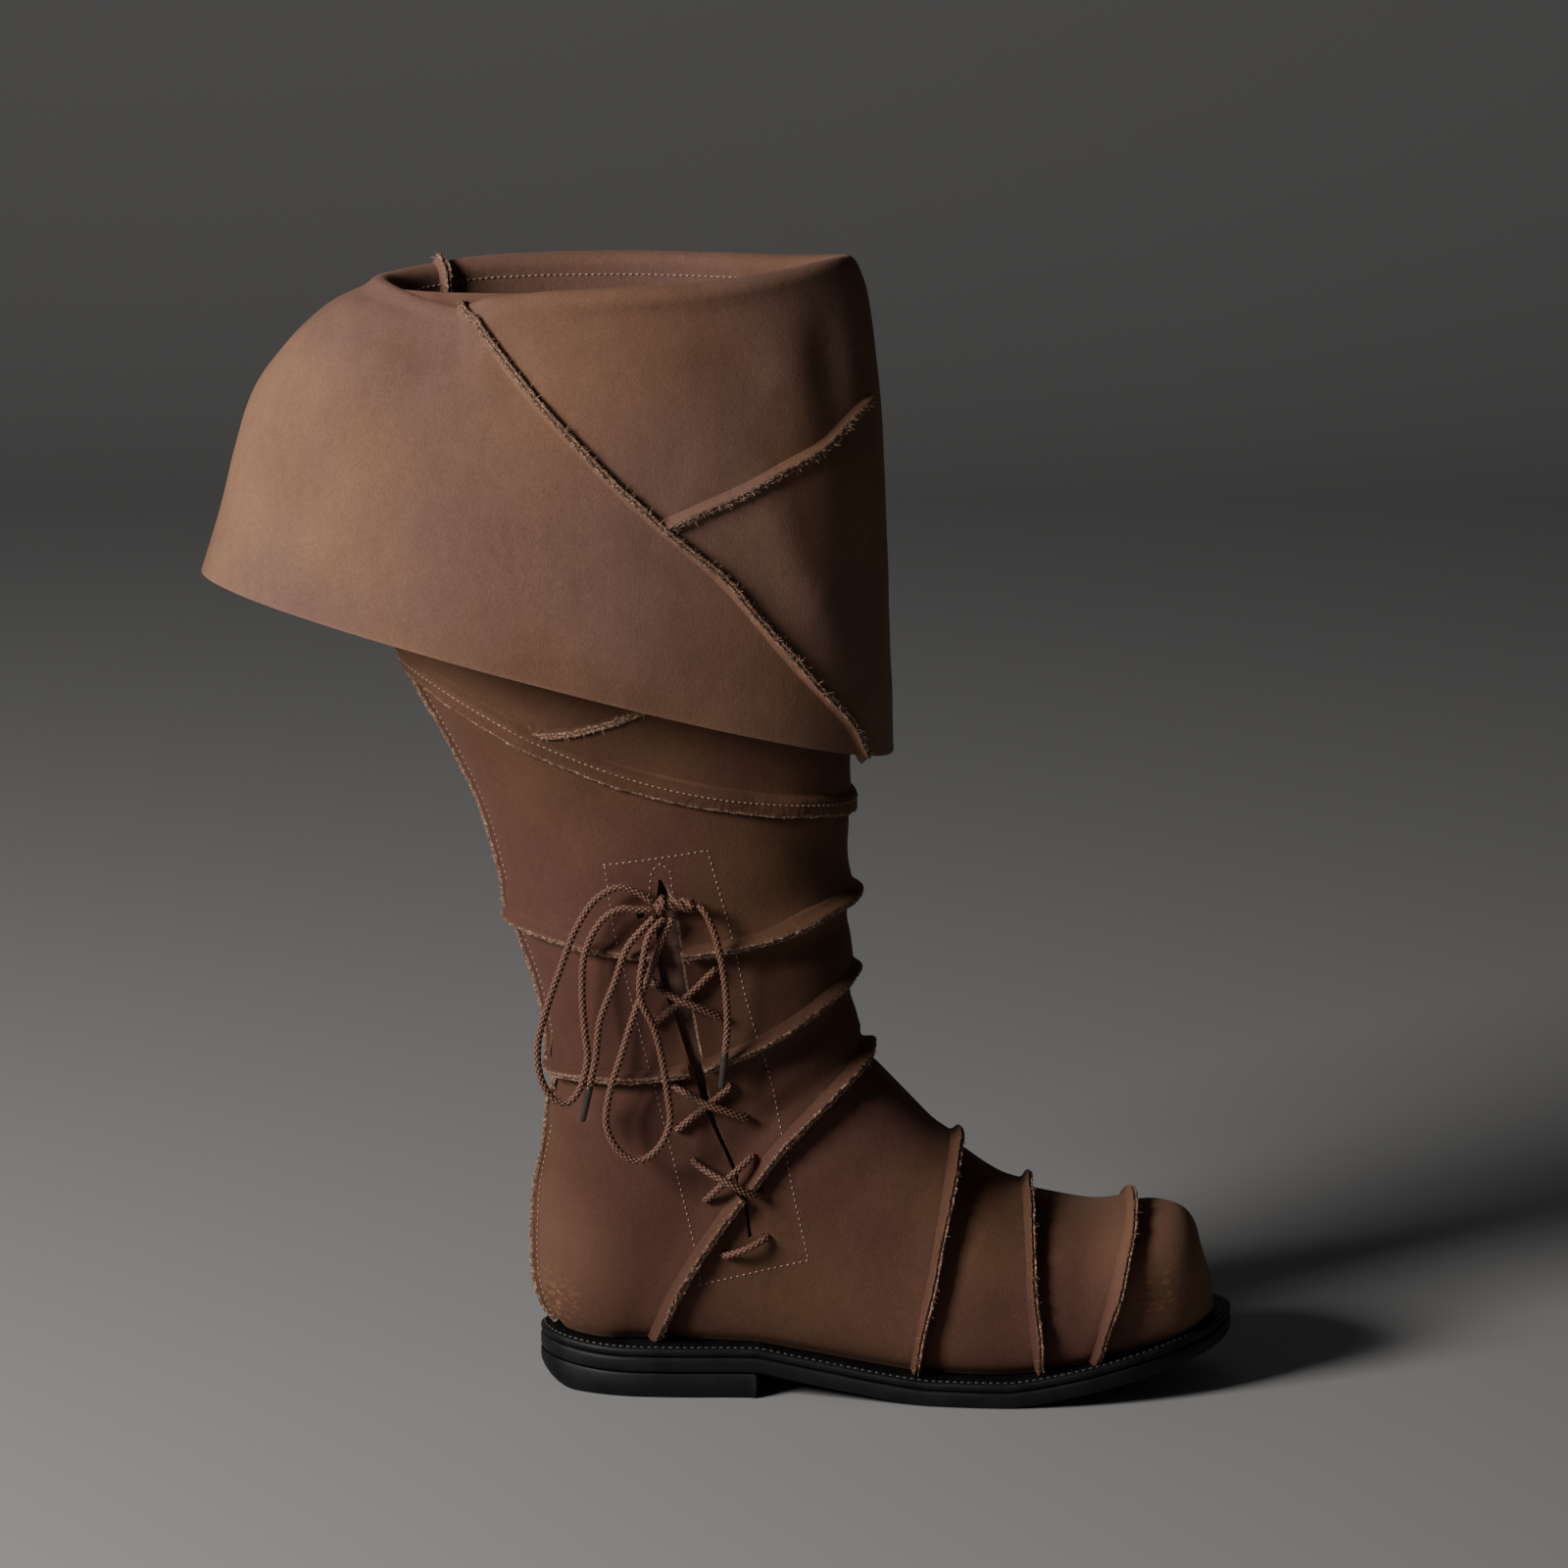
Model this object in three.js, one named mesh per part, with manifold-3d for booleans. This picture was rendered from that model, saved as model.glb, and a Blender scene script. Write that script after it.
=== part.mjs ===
// A right-foot turn-down leather boot on a black stitched-down sole with a low stacked heel.
// Millimetres, +Z up. The toe points to +X, the outer (lateral) side of the foot is -Y,
// and the origin is on the floor under the middle of the heel.
import * as THREE from "three";
import { mergeVertices } from "three/addons/utils/BufferGeometryUtils.js";
import Module from "manifold-3d";

const wasm = await Module();
wasm.setup();

// Driving dimensions of the last: the foot-shaped form that the upper is stretched over.
const lastLength = 287;
const lastBack = -33.5; // from the origin to the back of the last's bottom edge
const ballWidth = 98;
const instepHeight = 148; // floor to the bend at the front of the ankle
const toeHeight = 77.5;
const shaftDepth = 194; // front to back, under the cuff's fold
const shaftWidth = 104;
const collarHeight = 484;

// The sole, from the floor up.
const heelLift = 11;
const heelLength = 95;
const outsoleThickness = 7;
const midsoleThickness = 4;
const insoleThickness = 3;
const toeSpring = 21;
const sideLedge = 4; // the midsole's rim outside the upper
const toeLedge = 10;
const treadBack = 131; // where the forefoot starts to lie flat on the floor
const treadFront = 165;
const heelSeatRise = 3; // how far the seat curls up at the very back
const heelBevel = 8;

// Leather and seams.
const wall = 2.2;
const gap = 0.3; // between pieces that meet
const seamHeight = 4.6; // the raw edges of two panels stand up this far
const seamWidth = 3.8;

// The cuff, folded over the collar and hanging outside the shaft.
const cuffFoldRadius = 4.8;
const cuffTuck = 30; // how deep the cuff is sewn inside the collar
const cuffDropBack = 122;
const cuffDropFront = 205;
const cuffHemDepth = 296; // front to back along the hem
const cuffHemWidth = 158;
const cuffHemFront = 116;
const cuffHemLift = 2; // the hem's lateral side hangs this much higher than straight
const cuffHemDip = 27; // and its medial side this much lower

// The side lacing.
const slitWidth = 10;
const laceDiameter = 3;
const laceHole = 3.8;
const holeSides = 6;
const tongueThickness = 1.6;
const agletLength = 16;
const agletDiameter = 3.4;

const columns = 24; // points around each section of the leather
const full = Math.PI * 2;
const clamp = (x, low, high) => Math.min(high, Math.max(low, x));
const mix = (a, b, t) => a + (b - a) * t;

// Floor to the underside of the outsole. The arch drops from the heel, and the toe springs up.
const breast = lastBack - sideLedge + heelLength;
const lastFront = lastBack + lastLength;
const archEase = 1.25;
const toeEase = 1.2;
function soleLift(x) {
  const seat = clamp(-x / -(lastBack - sideLedge), 0, 1);
  const arch = clamp((treadBack - x) / (treadBack - breast), 0, 1);
  const toe = clamp((x - treadFront) / (lastFront + toeLedge - treadFront), 0, 1);
  return heelSeatRise * seat ** 2 + heelLift * arch ** archEase + toeSpring * toe ** toeEase;
}
const featherZ = (x) => soleLift(x) + outsoleThickness + midsoleThickness + 2 * gap;

// The last's bottom edge. along: share of the last's length. lateral, medial: shares of the ball's width.
const LAST_EDGE = [
  { along: 0.015, lateral: 0.13, medial: 0.13 },
  { along: 0.05, lateral: 0.225, medial: 0.22 },
  { along: 0.11, lateral: 0.3, medial: 0.29 },
  { along: 0.19, lateral: 0.325, medial: 0.31 },
  { along: 0.3, lateral: 0.33, medial: 0.285 },
  { along: 0.42, lateral: 0.375, medial: 0.26 },
  { along: 0.54, lateral: 0.445, medial: 0.33 },
  { along: 0.64, lateral: 0.49, medial: 0.44 },
  { along: 0.72, lateral: 0.5, medial: 0.49 },
  { along: 0.8, lateral: 0.48, medial: 0.49 },
  { along: 0.88, lateral: 0.405, medial: 0.445 },
  { along: 0.94, lateral: 0.295, medial: 0.355 },
  { along: 0.98, lateral: 0.165, medial: 0.24 },
];
const toeApex = 0.05; // the toe's tip lies this share of the ball's width towards the big toe
const EDGE_SAMPLES = 320;
const endTrim = 0.5;

// The last's edge moved out by a ledge that grows from the sides to the toe, as a closed polyline.
function soleOutline(side, toe) {
  const at = (r, y) => new THREE.Vector3(lastBack + r.along * lastLength, y * ballWidth, 0);
  const points = [
    at({ along: 0 }, 0),
    ...LAST_EDGE.map((r) => at(r, -r.lateral)),
    at({ along: 1 }, toeApex),
    ...LAST_EDGE.map((r) => at(r, r.medial)).reverse(),
  ];
  const curve = new THREE.CatmullRomCurve3(points, true, "centripetal");
  return curve.getPoints(EDGE_SAMPLES).map((p, i) => {
    const along = curve.getTangent(i / EDGE_SAMPLES);
    const ledge = mix(side, toe, clamp((p.x - treadFront) / (lastFront - treadFront), 0, 1) ** 2);
    return new THREE.Vector2(p.x + along.y * ledge, p.y - along.x * ledge);
  });
}

// The two sides of a closed outline at a given x.
function sidesAt(outline, x) {
  const hits = [];
  for (let i = 1; i < outline.length; i += 1) {
    const a = outline[i - 1];
    const b = outline[i];
    if ((a.x - x) * (b.x - x) <= 0 && a.x !== b.x) {
      hits.push(mix(a.y, b.y, (x - a.x) / (b.x - a.x)));
    }
  }
  return { lateral: Math.min(...hits), medial: Math.max(...hits) };
}

// A mesh from vertices and triangles, and the two-way passage to manifold-3d.
function geometryOf(vertices, triangles) {
  const geometry = new THREE.BufferGeometry();
  geometry.setAttribute("position", new THREE.Float32BufferAttribute(vertices, 3));
  geometry.setIndex(triangles);
  return geometry;
}

function solidOf(geometry) {
  const bare = geometry.clone();
  bare.deleteAttribute("normal");
  bare.deleteAttribute("uv");
  const merged = mergeVertices(bare, 1e-3);
  return new wasm.Manifold(
    new wasm.Mesh({
      numProp: 3,
      vertProperties: merged.attributes.position.array,
      triVerts: new Uint32Array(merged.index.array),
    }),
  );
}

function geometryFrom(solid) {
  const mesh = solid.getMesh();
  const vertices = [];
  for (let i = 0; i < mesh.numVert; i += 1) {
    for (let axis = 0; axis < 3; axis += 1) {
      vertices.push(mesh.vertProperties[i * mesh.numProp + axis]);
    }
  }
  return geometryOf(vertices, [...mesh.triVerts]);
}

// A closed skin through loops of equal length, with flat caps or with a single point at either end.
function skin(loops, startPoint, endPoint) {
  const count = loops[0].length;
  const vertices = loops.flat().flatMap((p) => [p.x, p.y, p.z]);
  const triangles = [];
  for (let k = 0; k + 1 < loops.length; k += 1) {
    for (let j = 0; j < count; j += 1) {
      const a = k * count + j;
      const b = k * count + ((j + 1) % count);
      triangles.push(a, b, b + count, a, b + count, a + count);
    }
  }
  const close = (first, point, flip) => {
    const tip = point ?? loopCentre(loops[first / count]);
    const index = vertices.length / 3;
    vertices.push(tip.x, tip.y, tip.z);
    for (let j = 0; j < count; j += 1) {
      const pair = [first + j, first + ((j + 1) % count)];
      triangles.push(index, ...(flip ? pair.reverse() : pair));
    }
  };
  if (startPoint !== "joined") {
    close(0, startPoint, true);
    close((loops.length - 1) * count, endPoint, false);
  }
  return { vertices, triangles, count };
}

function loopCentre(loop) {
  const sum = loop.reduce((s, p) => s.add(p), new THREE.Vector3());
  return sum.multiplyScalar(1 / loop.length);
}

// A solid from loops, turned so that its faces point out.
function solidFromLoops(loops, startPoint, endPoint) {
  const { vertices, triangles } = skin(loops, startPoint, endPoint);
  const solid = solidOf(geometryOf(vertices, triangles));
  if (solid.volume() > 0) return solid;
  for (let i = 0; i < triangles.length; i += 3) {
    [triangles[i + 1], triangles[i + 2]] = [triangles[i + 2], triangles[i + 1]];
  }
  return solidOf(geometryOf(vertices, triangles));
}

// Places along x for the plates' cross-sections, closest together at the heel and the toe, with one
// at each place where the sole's underside turns.
function stationsOf(outline, count) {
  const xs = outline.map((p) => p.x);
  const [back, front] = [Math.min(...xs) + endTrim, Math.max(...xs) - endTrim];
  const even = Array.from({ length: count + 1 }, (_, i) => mix(back, front, (1 - Math.cos((Math.PI * i) / count)) / 2));
  const turns = [breast, treadBack, treadFront];
  const kept = even.filter((x) => turns.every((turn) => Math.abs(x - turn) > 2));
  return [...kept, ...turns].sort((a, b) => a - b);
}

// A bent plate: cross-sections along x between two heights, with bevels along its low and high edges.
function plate(outline, lowZ, highZ, stations, bevel) {
  const loops = [];
  for (const x of stations) {
    const { lateral, medial } = sidesAt(outline, x);
    const low = lowZ(x);
    const high = highZ(x);
    const lowBevel = bevel.low;
    loops.push(
      [
        [lateral + lowBevel, low],
        [medial - lowBevel, low],
        [medial, low + bevel.low],
        [medial, high - bevel.high],
        [medial - bevel.high, high],
        [lateral + bevel.high, high],
        [lateral, high - bevel.high],
        [lateral, low + bevel.low],
      ].map(([y, z]) => new THREE.Vector3(x, y, z)),
    );
  }
  return solidFromLoops(loops);
}

// Sections of the upper, from the toe round the heel and up the shaft, as a sock is knitted.
// Each runs from a point at its back or underside to one at its front or top. Foot rows: fx and bx
// are shares of the last's length, fz of the toe's or instep's height, and bz is the depth under the
// upper's bottom edge, as a share of the toe's height. lateral and medial are half widths at the
// low and the high end, as shares of the ball's width. low and high say how square each end is.
const FOOT_ROWS = [
  { fx: 0.986, fz: 0.78, bx: 1.01, bz: -0.02, lateral: [0.14, 0.13], medial: [0.2, 0.19], low: 2.4, high: 2.3 },
  { fx: 0.979, fz: 0.875, bx: 0.993, bz: -0.07, lateral: [0.24, 0.22], medial: [0.31, 0.28], low: 2.8, high: 2.4 },
  { fx: 0.962, fz: 0.95, bx: 0.966, bz: -0.1, lateral: [0.33, 0.3], medial: [0.385, 0.35], low: 3.2, high: 2.5 },
  { fx: 0.928, fz: 0.993, bx: 0.925, bz: -0.12, lateral: [0.4, 0.365], medial: [0.43, 0.4], low: 3.4, high: 2.5 },
  { fx: 0.885, fz: 1.0, bx: 0.81, bz: -0.13, lateral: [0.485, 0.43], medial: [0.49, 0.44], low: 3.4, high: 2.5, seam: 1 },
  { fx: 0.81, fz: 1.01, bx: 0.785, bz: -0.13, lateral: [0.5, 0.43], medial: [0.5, 0.43], low: 3.4, high: 2.4 },
  { fx: 0.722, fz: 1.1, bx: 0.744, bz: -0.13, lateral: [0.51, 0.425], medial: [0.5, 0.42], low: 3.4, high: 2.4, seam: 1 },
  { fx: 0.665, fz: 1.21, bx: 0.65, bz: -0.13, lateral: [0.505, 0.42], medial: [0.46, 0.41], low: 3.2, high: 2.4 },
  { fx: 0.612, fz: 1.37, bx: 0.548, bz: -0.13, lateral: [0.47, 0.42], medial: [0.4, 0.41], low: 3.0, high: 2.3, seam: 1 },
  { fx: 0.56, fz: 1.56, bx: 0.36, bz: -0.13, lateral: [0.4, 0.42], medial: [0.34, 0.41], low: 2.8, high: 2.3 },
];
// Heel and shaft rows: fx and bx are shares of the shaft's depth from the origin, and fz and bz of the
// collar's height above the floor. sag drops a ring's lateral and medial side, as shares of the ball's width.
const SHAFT_ROWS = [
  { fx: 0.532, fz: 0.306, bx: 0.046, bz: 0.03, lateral: [0.345, 0.43], medial: [0.33, 0.42], low: 2.7, high: 2.3, sag: [-0.11, -0.11], seam: 1 },
  { fx: 0.522, fz: 0.325, bx: -0.09, bz: 0.026, lateral: [0.33, 0.43], medial: [0.32, 0.42], low: 2.5, high: 2.3, sag: [-0.12, -0.12] },
  { fx: 0.515, fz: 0.341, bx: -0.189, bz: 0.08, lateral: [0.345, 0.44], medial: [0.335, 0.43], low: 2.3, high: 2.3, sag: [-0.06, -0.06] },
  { fx: 0.508, fz: 0.354, bx: -0.197, bz: 0.165, lateral: [0.37, 0.44], medial: [0.36, 0.43], low: 2.2, high: 2.25, sag: [0, 0] },
  { fx: 0.503, fz: 0.367, bx: -0.168, bz: 0.235, lateral: [0.4, 0.445], medial: [0.39, 0.435], low: 2.2, high: 2.2, sag: [0.07, 0.04] },
  { fx: 0.499, fz: 0.38, bx: -0.157, bz: 0.292, lateral: [0.42, 0.45], medial: [0.41, 0.44], low: 2.2, high: 2.2, sag: [0.12, 0.08], seam: 1 },
  { fx: 0.504, fz: 0.412, bx: -0.185, bz: 0.362, lateral: [0.45, 0.465], medial: [0.44, 0.455], low: 2.2, high: 2.2, sag: [0.12, 0.07] },
  { fx: 0.498, fz: 0.451, bx: -0.245, bz: 0.434, lateral: [0.475, 0.485], medial: [0.465, 0.475], low: 2.2, high: 2.2, sag: [0.13, 0.06], seam: 1 },
  { fx: 0.496, fz: 0.49, bx: -0.32, bz: 0.54, lateral: [0.5, 0.505], medial: [0.49, 0.495], low: 2.1, high: 2.2, sag: [0.12, 0.08] },
  { fx: 0.5, fz: 0.537, bx: -0.482, bz: 0.667, lateral: [0.51, 0.52], medial: [0.51, 0.52], low: 2.0, high: 2.2, sag: [0.12, 0.1], seam: 1 },
  { fx: 0.497, fz: 0.64, bx: -0.507, bz: 0.742, lateral: [0.51, 0.52], medial: [0.51, 0.52], low: 2.0, high: 2.1, sag: [0.07, 0.07] },
  { fx: 0.488, fz: 0.82, bx: -0.516, bz: 0.865, lateral: [0.47, 0.47], medial: [0.47, 0.47], low: 2.0, high: 2.0, sag: [0.02, 0.02] },
  { fx: 0.48, fz: 1.0, bx: -0.52, bz: 0.99, lateral: [0.43, 0.43], medial: [0.43, 0.43], low: 2.1, high: 1.9, sag: [0, 0] },
];

// Every row in millimetres. Shaft widths follow the shaft's own width above the ankle. bend says how
// closely the sag keeps to the middle of a side.
const ankleRow = 4;
const shaftBend = 3;
const hemBend = 2;
const sections = [
  ...FOOT_ROWS.map((r) => {
    const bx = lastBack + r.bx * lastLength;
    return {
      ...r,
      fx: lastBack + r.fx * lastLength,
      fz: r.fz <= 1 ? r.fz * toeHeight : mix(toeHeight, instepHeight, (r.fz - 1) / (instepHeight / toeHeight - 1)),
      bx,
      bz: featherZ(bx) + r.bz * toeHeight,
      lateral: r.lateral.map((w) => w * ballWidth),
      medial: r.medial.map((w) => w * ballWidth),
      sag: [0, 0],
      bend: shaftBend,
    };
  }),
  ...SHAFT_ROWS.map((r, i) => {
    const width = mix(ballWidth, shaftWidth, clamp((i - ankleRow) / 4, 0, 1));
    return {
      ...r,
      fx: r.fx * shaftDepth,
      fz: r.fz * collarHeight,
      bx: r.bx * shaftDepth,
      bz: r.bz * collarHeight,
      lateral: r.lateral.map((w) => w * width),
      medial: r.medial.map((w) => w * width),
      sag: r.sag.map((w) => w * ballWidth),
      bend: shaftBend,
    };
  }),
];
const lastRow = sections.length - 1;

// A number between four table rows, on a smooth curve through the middle two.
function smooth(p, q, r, s, t) {
  const a = -p + 3 * q - 3 * r + s;
  const b = 2 * p - 5 * q + 4 * r - s;
  return 0.5 * (2 * q + (r - p) * t + b * t ** 2 + a * t ** 3);
}

function rowAt(table, v) {
  const last = table.length - 1;
  const i = clamp(Math.floor(v), 0, last - 1);
  const t = v - i;
  const [p, q, r, s] = [-1, 0, 1, 2].map((k) => table[clamp(i + k, 0, last)]);
  const column = (read) => smooth(read(p), read(q), read(r), read(s), t);
  return {
    fx: column((row) => row.fx),
    fz: column((row) => row.fz),
    bx: column((row) => row.bx),
    bz: column((row) => row.bz),
    lateral: [0, 1].map((k) => column((row) => row.lateral[k])),
    medial: [0, 1].map((k) => column((row) => row.medial[k])),
    low: column((row) => row.low),
    high: column((row) => row.high),
    sag: [0, 1].map((k) => column((row) => row.sag[k])),
    bend: table[i].bend,
  };
}

// A point on a section. angle 0 is its front or top, and it grows over the lateral side.
function sectionPoint(row, angle) {
  const c = Math.cos(angle);
  const s = Math.sin(angle);
  const square = 2 / (c > 0 ? row.high : row.low);
  const t = (1 + Math.sign(c) * Math.abs(c) ** square) / 2;
  const across = Math.abs(s) ** square;
  const [low, high] = s > 0 ? row.lateral : row.medial;
  const chord = new THREE.Vector2(row.fx - row.bx, row.fz - row.bz).normalize();
  const drop = row.sag[s > 0 ? 0 : 1] * across ** row.bend;
  return new THREE.Vector3(
    mix(row.bx, row.fx, t) + chord.y * drop,
    -Math.sign(s) * mix(low, high, t) * across,
    mix(row.bz, row.fz, t) - chord.x * drop,
  );
}

// The outer face of a leather tube at row v and an angle, and its outward direction there.
const STEP = 0.05;
function faceOf(table, v, angle) {
  const last = table.length - 1;
  const at = (w, a) => sectionPoint(rowAt(table, clamp(w, 0, last)), a);
  const point = at(v, angle);
  const up = at(v + STEP, angle).sub(at(v - STEP, angle));
  const round = at(v, angle + STEP).sub(at(v, angle - STEP));
  const out = new THREE.Vector3().crossVectors(up, round).normalize();
  const centre = loopCentre([at(v, 0), at(v, Math.PI)]);
  if (out.dot(point.clone().sub(centre)) < 0) out.negate();
  return { point, out, along: up.normalize(), round: round.normalize() };
}

// Angles round a section. The four close together at the back carry the back seam's raised edge.
const backSpread = 0.5 * seamWidth;
const angles = [];
for (let j = 0; j < columns; j += 1) {
  const angle = (full * j) / columns;
  if (Math.abs(angle - Math.PI) < 1e-6) {
    angles.push({ angle, side: -1, rise: 0 }, { angle, side: -0.8, rise: 1 });
    angles.push({ angle, side: 0.8, rise: 1 }, { angle, side: 1, rise: 0 });
  } else {
    angles.push({ angle, side: 0, rise: 0 });
  }
}

// One ring of the outer face. raise lifts it as a seam's edge, and shift moves it along the upper.
function outerRing(table, v, raise = 0, shift = 0) {
  return angles.map((a) => {
    const f = faceOf(table, v, a.angle);
    const lift = Math.max(raise, a.rise) * seamHeight;
    return f.point
      .addScaledVector(f.along, shift)
      .add(new THREE.Vector3(0, a.side * backSpread, 0))
      .addScaledVector(f.out, lift);
  });
}

function innerRing(table, v, depth) {
  return angles.map((a) => {
    const f = faceOf(table, v, a.angle);
    return f.point
      .add(new THREE.Vector3(0, a.side * backSpread, 0))
      .addScaledVector(f.out, -depth);
  });
}

// The rows where rings are cut, with one more between two that lie far apart.
const farApart = 26;
const ringRows = [];
for (let v = 0; v <= lastRow; v += 1) {
  ringRows.push(v);
  if (v === lastRow) break;
  const [a, b] = [sections[v], sections[v + 1]];
  const spread = Math.max(Math.hypot(b.fx - a.fx, b.fz - a.fz), Math.hypot(b.bx - a.bx, b.bz - a.bz));
  if (spread > farApart) ringRows.push(v + 0.5);
}

// The tip of the toe, ahead of the first section.
const tipBulge = 1.5;
function toeTip(depth) {
  const middle = loopCentre([faceOf(sections, 0, 0).point, faceOf(sections, 0, Math.PI).point]);
  return middle.add(new THREE.Vector3(tipBulge - depth, toeApex * ballWidth, 0));
}

// A tube between two depths under the upper's outer face, closed at the toe and at its two rims.
function leatherTube(outerDepth, innerDepth, topRow, seams) {
  const outside = [];
  const inside = [];
  for (const v of ringRows.filter((row) => row <= topRow)) {
    if (seams && sections[v]?.seam) {
      const half = seamWidth / 2;
      outside.push(outerRing(sections, v, 0, -half), outerRing(sections, v, 1), outerRing(sections, v, 0, half));
    } else if (seams) {
      outside.push(outerRing(sections, v));
    } else {
      outside.push(innerRing(sections, v, outerDepth));
    }
    inside.push(innerRing(sections, v, innerDepth));
  }
  return solidFromLoops([...outside, ...inside.reverse()], toeTip(outerDepth), toeTip(innerDepth));
}

// The space inside the upper, at a depth under its outer face.
function insideOfUpper(depth) {
  const loops = ringRows.map((v) => innerRing(sections, v, depth));
  return solidFromLoops(loops, toeTip(depth));
}

// A prism across the lateral side of the boot, from an outline in x and z.
const farSide = 150;
function sidePrism(outline, nearY) {
  const shape = new THREE.Shape(outline.map((p) => new THREE.Vector2(p.x, p.z)));
  const geometry = new THREE.ExtrudeGeometry(shape, { depth: farSide, bevelEnabled: false });
  geometry.rotateX(Math.PI / 2);
  geometry.translate(0, nearY, 0);
  return solidOf(geometry);
}

// The lacing slit, from its top end to its bottom end, on the lateral side. x is a share of the
// shaft's depth, z of the collar's height, and open is a share of the slit's width.
const SLIT = [
  { x: 0.082, z: 0.481, open: 0.1 },
  { x: 0.09, z: 0.46, open: 0.62 },
  { x: 0.098, z: 0.43, open: 0.95 },
  { x: 0.108, z: 0.39, open: 1.0 },
  { x: 0.135, z: 0.35, open: 0.7 },
  { x: 0.165, z: 0.3, open: 0.4 },
  { x: 0.19, z: 0.263, open: 0.22 },
  { x: 0.238, z: 0.216, open: 0.14 },
  { x: 0.264, z: 0.185, open: 0.12 },
  { x: 0.277, z: 0.149, open: 0.12 },
];
const slitPath = SLIT.map((p) => ({ x: p.x * shaftDepth, z: p.z * collarHeight, half: (p.open * slitWidth) / 2 }));

// A place on the slit: t runs from 0 at its top end to 1 at its bottom end.
function slitAt(t) {
  const f = clamp(t, 0, 1) * (slitPath.length - 1);
  const i = Math.min(Math.floor(f), slitPath.length - 2);
  const [a, b] = [slitPath[i], slitPath[i + 1]];
  const run = new THREE.Vector2(b.x - a.x, b.z - a.z).normalize();
  return {
    x: mix(a.x, b.x, f - i),
    z: mix(a.z, b.z, f - i),
    half: mix(a.half, b.half, f - i),
    sideX: -run.y,
    sideZ: run.x,
  };
}

// Points beside the slit: across is millimetres from its middle, towards the toe when positive.
function besideSlit(t, across) {
  const s = slitAt(t);
  return { x: s.x + s.sideX * across, z: s.z + s.sideZ * across };
}

const slitCutter = sidePrism(
  [
    ...slitPath.map((p, i) => besideSlit(i / (SLIT.length - 1), p.half)),
    ...slitPath.map((p, i) => besideSlit(i / (SLIT.length - 1), -p.half)).reverse(),
  ],
  0,
);

// Lace holes in pairs down the slit, as shares of the shaft's depth and of the collar's height.
const HOLE_PAIRS = [
  { backX: 0.04, backZ: 0.448, frontX: 0.144, frontZ: 0.459 },
  { backX: 0.046, backZ: 0.393, frontX: 0.201, frontZ: 0.399 },
  { backX: 0.07, backZ: 0.349, frontX: 0.215, frontZ: 0.355 },
  { backX: 0.113, backZ: 0.29, frontX: 0.232, frontZ: 0.29 },
  { backX: 0.12, backZ: 0.251, frontX: 0.269, frontZ: 0.26 },
  { backX: 0.156, backZ: 0.22, frontX: 0.284, frontZ: 0.224 },
  { backX: 0.182, backZ: 0.185, frontX: 0.299, frontZ: 0.19 },
  { backX: 0.223, backZ: 0.133, frontX: 0.314, frontZ: 0.15 },
];
const holes = HOLE_PAIRS.map((r) => ({
  back: { x: r.backX * shaftDepth, z: r.backZ * collarHeight },
  front: { x: r.frontX * shaftDepth, z: r.frontZ * collarHeight },
}));

// The y of the upper's outer face on the lateral side, at a place in x and z.
const LOOK = { rows: 4, angles: 48 };
const lateralGrid = [];
for (let i = 0; i <= lastRow * LOOK.rows; i += 1) {
  const row = rowAt(sections, i / LOOK.rows);
  lateralGrid.push(
    Array.from({ length: LOOK.angles + 1 }, (_, j) => sectionPoint(row, (Math.PI * j) / LOOK.angles)),
  );
}
function lateralY(x, z) {
  let best = 0;
  const test = (a, b, c) => {
    const area = (b.x - a.x) * (c.z - a.z) - (c.x - a.x) * (b.z - a.z);
    const u = ((b.x - x) * (c.z - z) - (c.x - x) * (b.z - z)) / area;
    const v = ((c.x - x) * (a.z - z) - (a.x - x) * (c.z - z)) / area;
    if (u >= 0 && v >= 0 && u + v <= 1) best = Math.min(best, u * a.y + v * b.y + (1 - u - v) * c.y);
  };
  for (let i = 1; i < lateralGrid.length; i += 1) {
    for (let j = 1; j <= LOOK.angles; j += 1) {
      const [a, b, c, d] = [lateralGrid[i - 1][j - 1], lateralGrid[i - 1][j], lateralGrid[i][j], lateralGrid[i][j - 1]];
      test(a, b, c);
      test(a, c, d);
    }
  }
  return best;
}

// Everything under the upper's bottom edge, to trim what stands on the midsole.
const underBoot = (() => {
  const loops = [];
  const reach = { back: lastBack - 60, front: lastFront + 60, half: 90, low: -60, steps: 32 };
  for (let i = 0; i <= reach.steps; i += 1) {
    const x = mix(reach.back, reach.front, i / reach.steps);
    const top = featherZ(x) + gap;
    loops.push(
      [
        [-reach.half, reach.low],
        [reach.half, reach.low],
        [reach.half, top],
        [-reach.half, top],
      ].map(([y, z]) => new THREE.Vector3(x, y, z)),
    );
  }
  return solidFromLoops(loops);
})();

function upperSolid() {
  let solid = leatherTube(0, wall, lastRow, true).subtract(underBoot).subtract(slitCutter);
  for (const pair of holes) {
    for (const hole of [pair.back, pair.front]) {
      const punch = new THREE.CylinderGeometry(laceHole / 2, laceHole / 2, 60, holeSides);
      punch.translate(hole.x, lateralY(hole.x, hole.z), hole.z);
      solid = solid.subtract(solidOf(punch));
    }
  }
  return solid;
}

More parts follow.
